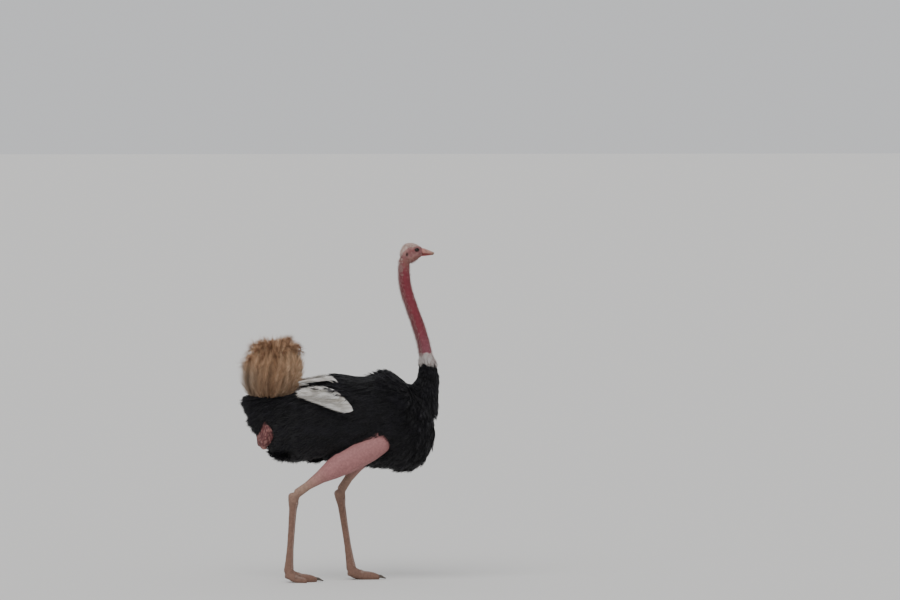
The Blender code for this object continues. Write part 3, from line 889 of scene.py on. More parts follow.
# %% Growing a coat
def tree_result(piece, tree, inputs):
    """Runs a tree on an object and returns the mesh that it makes. The object is removed."""
    nodes = piece.modifiers.new("tree", "NODES")
    nodes.node_group = tree
    sockets = {s.name: s.identifier for s in tree.interface.items_tree if s.in_out == "INPUT"}
    for key, value in inputs.items():
        nodes[sockets[key]] = value
    return mesh_taken(frozen(piece))


def grown(
    name, source, chosen, tufts, finish, spacing, seed, angles, slot="plumage_white",
    replaces=(), **fields,
):
    """Spreads tufts on those faces of a surface whose middle is chosen, and enters the piece.
    The angles are the tufts' lift, its spread and their turn's spread, in degrees. The fields
    are kept on the surface's points."""
    mesh = source.data.copy()
    mesh.materials.clear()
    for key, values in fields.items():
        keep_values(mesh, key, values)
    kept = chosen(*vectors_of(mesh.polygons, "center").astype(np.float32).T)
    with edited(mesh) as built:
        dropped = [f for f, k in zip(built.faces, kept) if not k]
        bmesh.ops.delete(built, geom=dropped, context="FACES")
    lift, lift_spread, turn_spread = map(math.radians, angles)
    mesh = tree_result(object_from(name, mesh), spread_tufts, {
        "Tufts": tufts, "Finish": finish, "Spacing": spacing, "Seed": seed,
        "Lift": lift, "Lift Spread": lift_spread, "Turn Spread": turn_spread,
    })
    for layer in ("lie", "size", "cover", "place", "lift", "material_index"):
        if layer in mesh.attributes:
            mesh.attributes.remove(mesh.attributes[layer])
    return as_piece(name, mesh, finish, replaces)


# %% Black plumage finish
black_finish, tree, shader = new_material("feather_black", 0.55)
place = object_place(tree)
# the cloud's lighter, bluish patches are partly the plumage's own uneven tone and partly painted
# sheen
cloud = tones(
    tree, grain(tree, place, 9.0, 4.0, (1.0, 1.0, 1.6)),
    (0.30, 12, 11, 15), (0.52, 18, 17, 23), (0.75, 32, 30, 38),
)
strand = ramp(tree, grain(tree, place, 240.0, 2.0), (0.3, 0.7, 0.7, 0.7), (0.7, 1.25, 1.22, 1.2))
feed(tree, shader, {
    "Base Color": multiplied(tree, cloud, strand), "Specular IOR Level": 0.22,
    "Sheen Weight": 0.04, "Sheen Roughness": 0.5,
})
print(black_finish.name)

# %% [markdown]
# ### How the coat lies
# Each point of the body gets four numbers and a direction: how long the tuft is, how far it
# stands out, how likely it is, where it is on the unwrap, and which way it lies. They are
# smooth functions of the place on the body, so that the lie turns gently from the neck down
# over the breast, back along the wings, and down again over the rump.

# %% Which way the coat lies
points, normals = points_and_normals(body.data)
x, y, z = points.T
up_neck = smoothstep(1.10, 1.24, z) * smoothstep(0.40, 0.46, x)
breast = smoothstep(0.40, 0.56, x) * (1 - up_neck)
belly = smoothstep(0.98, 0.80, z) * (1 - up_neck)
rear = smoothstep(-0.38, -0.56, x)
under_wing = smoothstep(1.16, 1.02, z)
lie = stacked(-1.0, 0.0, -0.10 - 0.30 * under_wing)
for amount, pull in (
    (up_neck, (0.75, 0.0, -1.6)), (breast, (0.45, 0.0, -1.1)), (belly * 0.8, (0.0, 0.0, -1.0)),
    (rear * smoothstep(1.12, 1.0, z), (0.45, 0.0, -0.9)),
):
    lie += amount[:, None] * np.array(pull)
lie = unit(lie)


def in_surface(lie):
    """The part of the lie that runs along the surface."""
    return lie - (lie * normals).sum(axis=1)[:, None] * normals


# where the coat would point straight out of a surface that faces back, it falls instead
lie[:, 2] -= 1.3 * smoothstep(0.75, 0.25, np.linalg.norm(in_surface(lie), axis=1))
lie = unit(lie)
print("the lie of", len(lie), "points")


# %% How long the coat is, and where it grows
def limited(length, where, limit):
    return np.where(where, np.minimum(length, limit), length)


# the coat is short on the neck, the rump and the hump of the back
hump = smoothstep(0.10, 0.16, x) * smoothstep(0.40, 0.34, x) * smoothstep(1.25, 1.29, z)
length = 0.112 - 0.058 * up_neck - 0.020 * breast + 0.030 * smoothstep(0.10, -0.25, x)
length += 0.012 * belly
length -= 0.078 * smoothstep(-0.42, -0.58, x)
length -= 0.055 * hump
# it stops at the bare patch of the vent, over the white plumes and under the white ring
vent_edge = np.hypot((x + 0.470) / 0.050, (z - 0.925) / 0.098)  # 1 on the edge of the bare patch
vent_gap = np.clip((vent_edge - 1.0) * 0.075, 0.0, 1.0)
near_vent = (x < -0.30) & (z < 1.09)
length = limited(length, near_vent, 0.045 + 0.8 * vent_gap)
over_strip = (z > 1.235) & (x < 0.14)
length = limited(length, over_strip, 0.055 + 0.7 * np.clip(x + 0.045, 0.0, 1.0))
length = np.minimum(length, 0.040 + 0.10 * smoothstep(1.345, 1.30, z))
cover = np.where(near_vent & (vent_edge < 1.0), 0.0, 1.0) * smoothstep(1.400, 1.388, z)
# the drumsticks are bare below a ragged edge, and no long tuft hangs over them
waves = 0.009 * noise_at(points, 22)
for _, side in SIDES:
    _, nearest, far = nearest_on(points, *leg_line(side, 0))
    far += waves
    bare = smoothstep(THIGH_COAT + 0.02, THIGH_COAT - 0.01, z + waves)
    cover *= 1.0 - bare * smoothstep(0.078, 0.070, far)
    over_leg = (z > nearest[:, 2] - 0.02) & (side * y > 0.05) & (far < 0.25)
    length = limited(length, over_leg, 0.034 + np.clip(far - 0.078, 0.0, 1.0))
# no tuft starts on the steps where its own surface would make it stand up
tangent = in_surface(lie)
tangent /= np.maximum(np.linalg.norm(tangent, axis=1)[:, None], 1e-6)
cover *= np.where((tangent[:, 2] > 0.30) & (x < 0.12), 0.0, 1.0)
# the white plumes show where no black tufts grow, apart from the tips that reach over them
bare_low = (x < 0.068 - 0.45 * (z - 1.07)) & (z > 1.075 - 0.42 * x) & (z < 1.225) & (x > -0.25)
bare_high = (x < -0.045) & (z > 1.228) & (x > -0.30) & (np.abs(y) > 0.060)
cover *= np.where((bare_low & (np.abs(y) > 0.13)) | bare_high, 0.0, 1.0)
print("tufts of", round(length.min(), 3), "to", round(length.max(), 3), "m")

# %% How far the coat stands out, and its unwrap
lift = 1.0 + 0.25 * belly + 0.3 * rear + 1.1 * up_neck + 0.9 * breast
lift += 0.5 * smoothstep(1.20, 1.27, z) * (1 - up_neck) * (1 - hump) * smoothstep(0.00, 0.08, x)
lift -= 0.55 * smoothstep(0.19, 0.235, np.abs(y)) * (1 - belly)


def unwrapped(x, y, z):
    """Places on the map: round the body's own line, cut along the belly, and along it."""
    turn = np.arctan2(y, z - 1.0)
    return 0.02 + 0.96 * (turn / (2 * math.pi) + 0.5), 0.02 + 0.96 * (x + 0.62) / 1.26


place = stacked(*unwrapped(x, y, z), 0.0)
print("map from", place.min(axis=0).round(2), "to", place.max(axis=0).round(2))

# %% Five pieces of coat
COAT_CUT = 0.14  # the coat's front and rear meet at this X
COAT_ANGLES = (11, 5, 16)


def at_neck(x, y, z):
    return (z > 1.20) & (x > 0.44)


def quarter(side, in_front):
    """Chooses the faces of one side, before the cut or behind it."""
    def chosen(x, y, z):
        own_side = y > 0 if side > 0 else y <= 0
        return own_side & ((x > COAT_CUT) & ~at_neck(x, y, z) if in_front else x <= COAT_CUT)
    return chosen


zones = [("coat_neck", at_neck, 0.0055, ())]
zones += [("coat_front_" + n, quarter(s, True), 0.0092, ("wing_" + n,)) for n, s in SIDES]
zones += [("coat_rear_" + n, quarter(s, False), 0.0094, ()) for n, s in SIDES]
for seed, (name, chosen, spacing, replaces) in enumerate(zones, start=20):
    grown(
        name, body, chosen, body_tufts, black_finish, spacing=spacing, seed=seed,
        angles=COAT_ANGLES, slot="plumage_black", replaces=replaces,
        lie=lie, size=length / UNIT, cover=cover, lift=lift, place=place,
    )

# %% [markdown]
# ## Long plumes
# The white plumes of the wings and the tan plumes of the tail are long enough to be made one
# by one. Each follows a smooth path from its root to its tip. A thin three-sided shaft runs
# along it, and bent barbs leave it on both sides, long in the middle and short at the tip.
# Arrays build all the barbs of a plume at once, which is far quicker than adding faces.

# %% Paths, shafts and barbs
SHAFT, BARB_THICK = 0.0011, 0.0009
BENT_SPIKE = np.array([
    (0, 1, 2), (0, 3, 4), (0, 4, 1), (1, 4, 5), (1, 5, 2), (2, 5, 3), (2, 3, 0),
    (3, 6, 4), (4, 6, 5), (5, 6, 3),
])


def smooth_path(stops, count):
    """Points on a curve through all stops, with their directions."""
    stops = np.array(stops, float)
    knots = np.concatenate([[0.0], np.cumsum(np.linalg.norm(np.diff(stops, axis=0), axis=1))])
    slopes = np.gradient(stops, knots, axis=0)
    where = np.linspace(0.0, knots[-1], count)
    part = np.clip(np.searchsorted(knots, where, side="right") - 1, 0, len(stops) - 2)
    span = (knots[part + 1] - knots[part])[:, None]
    t = ((where - knots[part]) / span[:, 0])[:, None]
    line = (
        (2 * t**3 - 3 * t**2 + 1) * stops[part] + (t**3 - 2 * t**2 + t) * span * slopes[part]
        + (3 * t**2 - 2 * t**3) * stops[part + 1] + (t**3 - t**2) * span * slopes[part + 1]
    )
    return line, unit(np.gradient(line, axis=0))


def bent_spikes(roots, mids, tips, ups, widths, thickness):
    """Closed spikes with one bend, ten triangles each."""
    rings = []
    for place, ahead, share in ((roots, mids - roots, 1.0), (mids, tips - roots, 0.8)):
        across, up = across_and_up(unit(ahead), ups)
        half = 0.5 * share * widths[:, None] * across
        rings += [place - half, place + half, place + share * thickness * up]
    return stacked(*rings, tips).reshape(-1, 3), faces_of(BENT_SPIKE, len(roots))


def shaft(line, ups, heading, thick):
    """A thin closed tube of three sides that ends in a point."""
    across, up = across_and_up(heading, ups)
    share = np.linspace(0.0, 1.0, len(line))
    radius = (thick * (1.0 - 0.75 * share) * np.minimum(1.0, 0.15 + 5.0 * share))[:, None]
    rings = stacked(line - radius * across, line + radius * across, line + radius * up)
    faces = [(0, 1, 2)]
    for k in range(len(line) - 1):
        for a, b in ((0, 1), (1, 2), (2, 0)):
            p, q = 3 * k + a, 3 * k + b
            faces += [(p, p + 3, q + 3), (p, q + 3, q)]
    end = 3 * (len(line) - 1)
    faces.append((end, end + 2, end + 1))
    return rings.reshape(-1, 3), np.array(faces)


# %% Plumes
def plume(
    draw, stops, ups, width, barbs, barb_width, angle, ragged,
    droop=0.0, steps=13, tip=0.15, loose=0.10,
):
    """One plume: points, faces, and a map of how far across and along each point is."""
    line, heading = smooth_path(stops, steps)
    points, faces = shaft(line, ups, heading, SHAFT)
    # where the barbs leave the shaft, on alternate sides
    count = 2 * barbs
    share, side = np.sort(draw.uniform(0.004, 0.985, count)), alternating(count)
    spots = share * (steps - 1)
    low = np.minimum(spots.astype(int), steps - 2)
    t = (spots - low)[:, None]
    roots = (1 - t) * line[low] + t * line[low + 1]
    ahead = (1 - t) * heading[low] + t * heading[low + 1]
    across, up = across_and_up(ahead, ups)
    # which way each goes and how far, and how it bends forward and falls
    stray = np.clip(draw.normal(0, 1, (2, count)), -1.6, 1.6) * loose
    lean = angle[0] + (angle[1] - angle[0]) * share + stray[0]
    profile = np.clip(np.sin(math.pi * share ** 0.62), 0.0, 1.0) ** 0.6 + tip
    reach = 0.5 * width / np.sin(np.maximum(lean, 0.35)) * profile
    reach = (reach * draw.uniform(1 - ragged, 1 + ragged, count))[:, None]
    out = np.cos(lean)[:, None] * ahead + (side * np.sin(lean))[:, None] * across
    out += stray[1][:, None] * up
    bent = 0.8 * ahead + 0.2 * out
    fall = -droop * UP * reach
    mids = roots + 0.55 * reach * out + 0.3 * fall
    tips = mids + 0.45 * reach * (0.55 * out + 0.45 * bent) + 0.7 * fall
    widths = barb_width * draw.uniform(0.8, 1.2, count)
    more, more_faces = bent_spikes(roots, mids, tips, up, widths, BARB_THICK)
    along = np.concatenate([np.repeat(np.linspace(0, 1, steps), 3), np.repeat(share, 7)])
    barb_edge = [0, 0, 0, 0.6, 0.6, 0.6, 1.0]
    edge = np.concatenate([np.zeros(3 * steps), np.tile(barb_edge, count)])
    return (
        np.concatenate([points, more]), np.concatenate([faces, more_faces + len(points)]),
        stacked(edge, along),
    )


def plumes_mesh(name, draw, rows):
    """Joins plumes into one mesh with its maps and a shade for each plume."""
    all_points, all_faces, local, baked, shades = [], [], [], [], []
    start = 0
    for stops, ups, settings in rows:
        points, faces, maps = plume(draw, stops, np.array(ups), **settings)
        all_points.append(points)
        all_faces.append(faces + start)
        start += len(points)
        local.append(maps)
        baked.append(np.array(unwrapped(*stops[0])) + PATCH * maps)
        shades.append(np.full(len(points), draw.uniform(0.0, 1.0)))
    mesh = mesh_of(
        name, np.concatenate(all_points), np.concatenate(all_faces),
        {"tuft": np.concatenate(local), "OFBake": np.concatenate(baked)},
    )
    keep_values(mesh, "shade", np.concatenate(shades))
    return mesh


# %% White plumage finish
def feather_finish(name, roughness, own, noise_settings=(), streaks=()):
    """A finish with a tone of its own for each feather, and streaks over it."""
    made, tree, shader = new_material(name, roughness)
    tone = tones(tree, stored(tree, "shade"), *own)
    if streaks:
        streak = ramp(tree, grain(tree, object_place(tree), *noise_settings), *streaks)
        tone = multiplied(tree, tone, streak)
    feed(tree, shader, {"Base Color": tone})
    return made


# the grey streaks on the white plumes are painted shade between the layered plumes
white_finish = feather_finish(
    "feather_white", 0.75,
    ((0.0, 214, 208, 200), (0.2, 242, 238, 233), (1.0, 252, 250, 247)),
    (30.0, 4.0, (0.30, 1.0, 2.4)), ((0.36, 0.66, 0.64, 0.60), (0.56, 1, 1, 1)),
)
print(white_finish.name)

# %% White plumes of the wings
LOWER_PLUME = dict(width=0.060, barbs=84, barb_width=0.0030, angle=(0.70, 0.30), ragged=0.22)
UPPER_PLUME = dict(width=0.044, barbs=70, barb_width=0.0028, angle=(0.65, 0.28), ragged=0.20)


def lower_plume(side, layer, u, jitter):
    """One of the plumes that fan back over the wing's lower edge. u is 1 at the top one."""
    inset, reach = 0.010 * layer, 0.23 + 0.035 * layer - 0.035 * u
    root = (0.040 - 0.095 * u ** 1.5, side * (0.252 - inset), 1.088 + 0.113 * u)
    tip = (
        root[0] - reach + 0.012 * jitter[1] + 0.03 * u, side * (0.176 - inset + 0.010 * u),
        1.178 + 0.020 * u + 0.006 * jitter[0],
    )
    sunk = (root[0] + 0.010, root[1] - side * 0.005, root[2])
    middle = (
        (root[0] + tip[0]) / 2, side * (0.242 - inset + 0.004 * jitter[2]),
        (root[2] + tip[2]) / 2 - 0.006 + 0.012 * u,
    )
    return [sunk, root, middle, tip], (0.15, side, 0.25), LOWER_PLUME


def upper_plume(side, layer, u, jitter):
    """One of the plumes that lie back over the wing's upper edge. u is 1 at the outer one."""
    root = (-0.055 - 0.02 * layer, side * (0.115 + 0.075 * u), 1.281 - 0.010 * u - 0.008 * layer)
    tip = (-0.262 + 0.010 * jitter[0], side * (0.080 + 0.048 * u), 1.258 + 0.003 * jitter[1])
    middle = tuple((a + b) / 2 + up for a, b, up in zip(root, tip, (0.0, 0.0, 0.007)))
    sunk = (root[0] + 0.024, root[1], root[2] - 0.018)
    return [sunk, root, middle, tip], (0.0, 0.25 * side, 1.0), UPPER_PLUME


SHEAVES = (  # name, how a plume is placed, layers, plumes in a layer, draws for each
    ("plumes_lower_", lower_plume, 3, 11, 6), ("plumes_upper_", upper_plume, 2, 7, 4),
)
draw = np.random.default_rng(5)
for side_name, side in SIDES:
    for sheaf, placed, layers, count, draws in SHEAVES:
        rows = [
            placed(side, layer, u, draw.normal(0, 1, draws))
            for layer in range(layers) for u in np.linspace(0.0, 1.0, count)
        ]
        name = sheaf + side_name
        mesh = plumes_mesh(name, draw, rows)
        as_piece("white_" + name, mesh, white_finish, (name,))

# %% Tan plumage finish
tan_finish, tree, shader = new_material("feather_tan", 0.8)
place = object_place(tree)
own = tones(
    tree, stored(tree, "shade"), (0.0, 176, 140, 108), (0.5, 208, 171, 137), (1.0, 230, 199, 166)
)
along = axis(tree, add_node(tree, "ShaderNodeUVMap", uv_map="tuft").outputs["UV"], "Y")
tipped = ramp(
    tree, along, (0.0, 0.80, 0.80, 0.84), (0.45, 1, 1, 1), (0.78, 0.97, 0.93, 0.88),
    (0.92, 0.60, 0.50, 0.44), (1.0, 0.42, 0.34, 0.30),
)
# the darker streaks are painted shade between the barbs
streak = ramp(
    tree, grain(tree, place, 45.0, 3.0, (1.0, 1.0, 0.4)),
    (0.30, 0.66, 0.62, 0.60), (0.62, 1.08, 1.06, 1.04),
)
behind = ranged(tree, axis(tree, place, "X"), -0.50, -0.59, 0.75)
low = ranged(tree, axis(tree, place, "Z"), 1.40, 1.29)
base = multiplied(tree, own, tipped, streak)
greyed = mixed(tree, maths(tree, "MULTIPLY", behind, low), base, linear(140, 124, 108))
feed(tree, shader, {"Base Color": greyed})
print(tan_finish.name)

# %% Tail
TAIL_FOOT, TAIL_TOP = 1.150, 1.511
TAIL_BUSH = (  # height, centre X, half length, half width
    (1.150, -0.450, 0.110, 0.055), (1.255, -0.436, 0.164, 0.116),
    (1.370, -0.424, 0.172, 0.148), (1.500, -0.420, 0.140, 0.142),
)
TAIL_LAYERS = {  # plumes, their least and greatest share of the radius, spread of ends, barbs
    "tail_outer": (50, 0.84, 1.0, 0.11, 150), "tail_middle": (44, 0.50, 0.80, 0.05, 120),
    "tail_inner": (32, 0.05, 0.46, 0.03, 84),
}
TAIL_PLUME = dict(
    barb_width=0.0016, angle=(0.58, 0.46), droop=0.12, ragged=0.32, steps=19, tip=0.30, loose=0.16
)


def in_tail(height, turn, share):
    """A place in the tail's bush: a height, a direction and a share of its radius."""
    levels, *rows = zip(*TAIL_BUSH)
    middle, long, wide = (np.interp(height, levels, row) for row in rows)
    return np.array([
        middle + long * share * math.cos(turn), wide * share * math.sin(turn), height,
    ])


def tail_plume(draw, turn, share, early, barbs):
    """A plume that rises from the rump and hooks outwards at its tip."""
    out = np.array([math.cos(turn), math.sin(turn), 0.0])
    end = TAIL_TOP + 0.010 * out[0] * share + draw.uniform(-0.034, 0.014)
    end -= early * draw.uniform(0.0, 1.0) ** 1.5 * (1.0 - 0.3 * out[0])
    top = in_tail(end, turn, share)
    hook = draw.uniform(0.6, 1.3)
    first = top + hook * (0.012 * out + [0, 0, 0.005])
    second = first + hook * (0.010 * out - [0, 0, 0.014])
    skewed = turn + draw.uniform(-1.3, 1.3)
    swerve = turn + draw.normal(0, 0.16)
    rise = end - TAIL_FOOT
    stops = [
        in_tail(TAIL_FOOT, turn, share), in_tail(TAIL_FOOT + 0.30 * rise, swerve, share),
        in_tail(TAIL_FOOT + 0.68 * rise, swerve, share), top, first, second,
    ]
    settings = dict(width=draw.uniform(0.050, 0.076), barbs=barbs, **TAIL_PLUME)
    return stops, (math.cos(skewed), math.sin(skewed), 0.3), settings


draw = np.random.default_rng(8)
for name, (count, low, high, early, barbs) in TAIL_LAYERS.items():
    rows = []
    for k in range(count):
        turn = 2 * math.pi * (k + draw.uniform(0.0, 0.9)) / count
        rows.append(tail_plume(draw, turn, draw.uniform(low, high), early, barbs))
    mesh = plumes_mesh(name, draw, rows)
    as_piece(name, mesh, tan_finish, ("tail",) if name == "tail_outer" else ())

# %% [markdown]
# ## Ring, down and bristles
# A ring of white feathers closes the top of the black coat. Above it the neck is bare apart
# from short, sparse hairs, which show mostly as a pale fringe along its edges. The crown and
# the nape carry denser down. All of them use the same tree as the coat, on the skin itself.

# %% White ring
ring_tufts = variants(
    "ring tufts", 4, 11, tuft,
    length=UNIT, count=14, spread=0.50, curve=0.18, width=0.0055, barb=0.45, thin=0.0016,
)
ring_finish = feather_finish(
    "feather_ring", 0.8,
    ((0.0, 184, 168, 166), (0.3, 214, 206, 202), (1.0, 236, 232, 228)),
    (38.0, 2.0), ((0.36, 0.80, 0.70, 0.70), (0.50, 1, 1, 1)),
)
points = coordinates(skin.data)
x, y, z = points.T
uneven = noise_at(points, 40)
turn = np.arctan2(y, x - 0.52)  # on the neck the unwrap goes round the neck's line
place = stacked(0.5 + 0.45 * turn / math.pi, 0.02 + 0.96 * (z - 1.3) / 0.85, 0.0)
grown(
    "white_ring", skin, lambda x, y, z: (z > 1.345) & (z < 1.47) & (x > 0.4),
    ring_tufts, ring_finish, spacing=0.0036, seed=41, angles=(25, 10, 22),
    replaces=("neck_collar",),
    lie=repeated((0.10, 0.0, -1.0), len(x)),
    size=(0.036 + 0.014 * uneven + 0.012 * smoothstep(0.54, 0.58, x)) / UNIT,
    cover=1.0 * ((z > 1.386) & (z < 1.441 + 0.008 * uneven)),
    lift=0.45 + 0.65 * smoothstep(1.440, 1.400, z), place=place,
)


# %% Hairs and down, and their finishes
def hair_patch(draw, count, area, width):
    """Separate hairs scattered over a small patch, all leaning along +X."""
    roots = np.concatenate([draw.uniform(-area, area, (count, 2)), np.zeros((count, 1))], axis=1)
    angle, rise = draw.normal(0, 0.26, count), draw.uniform(-0.15, 0.40, count)
    heading = stacked(np.cos(angle) * np.cos(rise), np.sin(angle) * np.cos(rise), np.sin(rise))
    tips = roots + UNIT * draw.uniform(0.7, 1.2, count)[:, None] * heading
    points, faces = spikes(roots, tips, UP, np.full(count, width), 0.6 * width)
    return points, faces, {"tuft": repeated((0.5, 0.5), len(points))}


hair_set = variants("neck hairs", 6, 31, hair_patch, count=5, area=0.045, width=0.0036)
down_set = variants("head down", 6, 31, hair_patch, count=12, area=0.040, width=0.0042)
hair_finish = feather_finish(
    "neck_hair", 0.8, ((0.0, 142, 82, 86), (0.5, 176, 130, 128), (1.0, 208, 182, 175))
)
down_finish = feather_finish(
    "crown_down", 0.85, ((0.0, 180, 150, 140), (0.6, 222, 204, 194), (1.0, 240, 232, 224))
)

# %% Hairs of the neck
hair_lie = repeated((0.12, 0.0, -1.0), len(x))
hair_lie[:, 0] += np.where(z > 2.0, -1.2, 0.0)
levels = np.arange(1.44, 1.97, 0.02)
slices = [x[np.abs(z - level) < 0.012] for level in levels]
middle_line = np.interp(z, levels, [(part.min() + part.max()) / 2 for part in slices])
nape = smoothstep(-0.010, -0.026, x - middle_line)
throat = smoothstep(0.014, 0.028, x - middle_line)
grown(
    "neck_hairs", skin, lambda x, y, z: (z > 1.42) & (z < 2.03) & (x > 0.3),
    hair_set, hair_finish, spacing=0.0033, seed=42, angles=(30, 16, 14),
    lie=hair_lie, size=(0.0120 + 0.004 * nape) / UNIT,
    cover=0.05 + 0.45 * throat + 0.80 * nape, lift=np.ones(len(x)), place=place,
)

# %% Down of the head
downy = smoothstep(-0.006, 0.010, z - (2.103 + crown_slope(x)) + 0.005 * uneven) * (x < 0.503)
downy = np.maximum(downy, 0.5 * smoothstep(0.400, 0.388, x) * smoothstep(1.90, 2.0, z))
downy *= smoothstep(0.0215, 0.0245, np.hypot(x - EYE[0], z - EYE[2]))
grown(
    "head_down", skin, lambda x, y, z: (z > 1.90) & (x > 0.3),
    down_set, down_finish, spacing=0.0029, seed=43, angles=(16, 10, 14),
    lie=hair_lie, size=(0.0090 - 0.0035 * smoothstep(0.46, 0.50, x)) / UNIT,
    cover=downy, lift=np.ones(len(x)), place=place,
)

# %% [markdown]
# ## Eyes, lids and lashes
# An ostrich's eye is the largest of any land animal's, dark brown with a black pupil. Here it
# is a fine sphere with a slightly raised cornea; its colours are rings round the axis it looks
# along. A soft ring of skin, higher above than below, makes the two lids, and long dark
# lashes stand along the upper one.

# %% Eyes
CORNEA, CORNEA_WIDTH = 0.0010, 0.0095
RAMP_REACH = 1 / 50.0  # distance from the axis at the end of the colour ramp

eye_finish, tree, shader = new_material("eye_dark", 0.06)
centred = add_node(tree, "ShaderNodeMapping", {
    "Vector": object_place(tree), "Location": (-EYE[0], 0.0, -EYE[2]),
}).outputs["Vector"]
flat = add_node(
    tree, "ShaderNodeVectorMath", {0: centred, 1: (1.0, 0.0, 1.0)}, operation="MULTIPLY"
).outputs[0]
far = add_node(tree, "ShaderNodeVectorMath", {0: flat}, operation="LENGTH").outputs["Value"]
iris = tones(
    tree, maths(tree, "MULTIPLY", far, 1 / RAMP_REACH), (0.0, 4, 4, 5), (0.26, 4, 4, 5),
    (0.30, 46, 29, 19), (0.50, 34, 21, 14), (0.56, 16, 11, 10), (0.75, 34, 26, 24),
)
fleck = ramp(
    tree, grain(tree, centred, 900.0, 2.0), (0.3, 0.75, 0.75, 0.75), (0.7, 1.2, 1.2, 1.2)
)
feed(tree, shader, {"Base Color": multiplied(tree, iris, fleck), "Specular IOR Level": 0.35})
for side_name, side in SIDES:
    mesh = bpy.data.meshes.new("eye")
    with edited(mesh) as built:
        bmesh.ops.create_uvsphere(built, u_segments=48, v_segments=24, radius=EYE_RADIUS)
        built.transform(Matrix.Rotation(math.pi / 2, 4, "X"))
        for vert in built.verts:
            if vert.co.y * side > 0:
                off_axis = math.hypot(vert.co.x, vert.co.z) / CORNEA_WIDTH
                vert.co.y += side * CORNEA * math.exp(-off_axis ** 2)
        built.transform(Matrix.Translation(sided(EYE, side)))
    as_piece("eye_ball_" + side_name, mesh, eye_finish, ("eye_" + side_name,))

# %% Lids
LID_STEPS, LID_SIDES = 72, 16
LID_LENGTH, LID_RISE, LID_FALL = 0.0128, 0.0094, 0.0092
LID_REACH = math.radians(24)  # how far round the ball the lids go, till they are under the skin
LID_GAP, LID_THICK, LID_FOLD = 0.0008, 0.0013, 0.0006


def lid_edge(turn):
    """The almond of the open eye, from the front corner round over the top."""
    height = LID_RISE if math.sin(turn) > 0 else LID_FALL
    flatter = 0.78 + 0.22 * abs(math.sin(turn))
    return LID_LENGTH * math.cos(turn), height * math.sin(turn) * flatter


def lid_point(side, turn, roll):
    """A place on the lids: round the eye's opening, and round the lids' own thickness."""
    edge_x, edge_z = lid_edge(turn)
    edge_turn = turn + math.remainder(math.atan2(edge_z, edge_x) - turn, 2 * math.pi)
    share = 0.5 - 0.5 * math.cos(roll)
    polar = math.asin(math.hypot(edge_x, edge_z) / EYE_RADIUS) + share * LID_REACH
    heading = edge_turn + share * (turn - edge_turn)
    fold = LID_FOLD * math.sin(14.0 * share) * max(math.sin(turn), -0.4)
    radius = EYE_RADIUS + LID_GAP * (1.0 - share) + (LID_THICK + fold) * math.sin(roll)
    return Vector(sided(EYE, side)) + radius * Vector((
        math.sin(polar) * math.cos(heading), side * math.cos(polar),
        math.sin(polar) * math.sin(heading),
    ))


turns = [2 * math.pi * k / LID_STEPS for k in range(LID_STEPS)]
rolls = [2 * math.pi * j / LID_SIDES for j in range(LID_SIDES)]
from_rim = np.tile(0.5 - 0.5 * np.cos(rolls), LID_STEPS)
tint = blended(repeated(LID_RIM, len(from_rim)), (FACE, smoothstep(0.02, 0.40, from_rim)))
for side_name, side in SIDES:
    mesh = bpy.data.meshes.new("lids")
    with edited(mesh) as built:
        rings = [[built.verts.new(lid_point(side, t, r)) for r in rolls] for t in turns]
        for a, b in zip(rings, next_ones(rings)):
            add_faces(built, a, next_ones(a), next_ones(b), b)
        bmesh.ops.recalc_face_normals(built, faces=built.faces)
    keep_values(mesh, "region", tint)
    as_piece("lids_" + side_name, mesh, skin_finish)

# %% Lashes and ear bristles
LASHES, BRISTLES, LASH_WIDTH = 34, 60, 0.0006

lash_finish = new_material("lash_black", 0.5, linear(30, 24, 22))[0]
draw = np.random.default_rng(12)
edge = np.array([lid_edge(t) for t in np.linspace(0.25, math.pi - 0.35, LASHES)])
outwards = unit(edge)
seat = edge + 0.0012 * outwards
ball = np.sqrt(EYE_RADIUS ** 2 - (seat ** 2).sum(axis=1)) + 0.0018
for side_name, side in SIDES:
    # lashes along the upper lid
    roots = stacked(EYE[0] + seat[:, 0], side * (EYE[1] + ball), EYE[2] + seat[:, 1])
    long = draw.uniform(0.0065, 0.0095, LASHES)[:, None]
    out = stacked(0.55 * outwards[:, 0] - 0.15, 0.75 * side, 0.45 * outwards[:, 1])
    mids = roots + 0.5 * long * out
    tips = mids + 0.5 * long * (out + [-0.1, -0.1 * side, 0.55])
    points, faces = bent_spikes(
        roots, mids, tips, UP + 0.01, np.full(LASHES, LASH_WIDTH), 0.0004)
    # bristles round the ear's opening
    around = draw.uniform(0.0, 2 * math.pi, BRISTLES)
    rim = stacked(0.0050 * np.cos(around), 0.0, 0.0085 * np.sin(around))
    roots = np.array([EAR[0], side * 0.0325, EAR[2]])
    roots = roots + rim * draw.uniform(0.75, 1.05, BRISTLES)[:, None]
    out = np.array([-0.45, side * 0.12, -0.35]) - 25 * rim
    out += draw.normal(0, 0.15, (BRISTLES, 3))
    tips = roots + draw.uniform(0.004, 0.007, BRISTLES)[:, None] * out
    more, more_faces = spikes(
        roots, tips, np.array([0.0, 0.3, 1.0]), np.full(BRISTLES, LASH_WIDTH), 0.0005)
    points = np.concatenate([points, more])
    faces = np.concatenate([faces, more_faces + len(points) - len(more)])
    mesh = mesh_of("lashes", points, faces, {"OFBake": repeated((0.5, 0.9), len(points))})
    as_piece("lashes_" + side_name, mesh, lash_finish)

# %% [markdown]
# ## Bill and claws
# The bill is broad, flat and soft-edged, with a hard nail at its tip, a raised ridge along the
# top and a slit of a nostril on each side. Copies of the solids are fused again at a finer
# step, and the details are pressed into them, as on the head.

# %% Bill
NOSTRIL = np.array([0.541, 0.0, 2.0775])
BILL_VOXEL = 0.00105


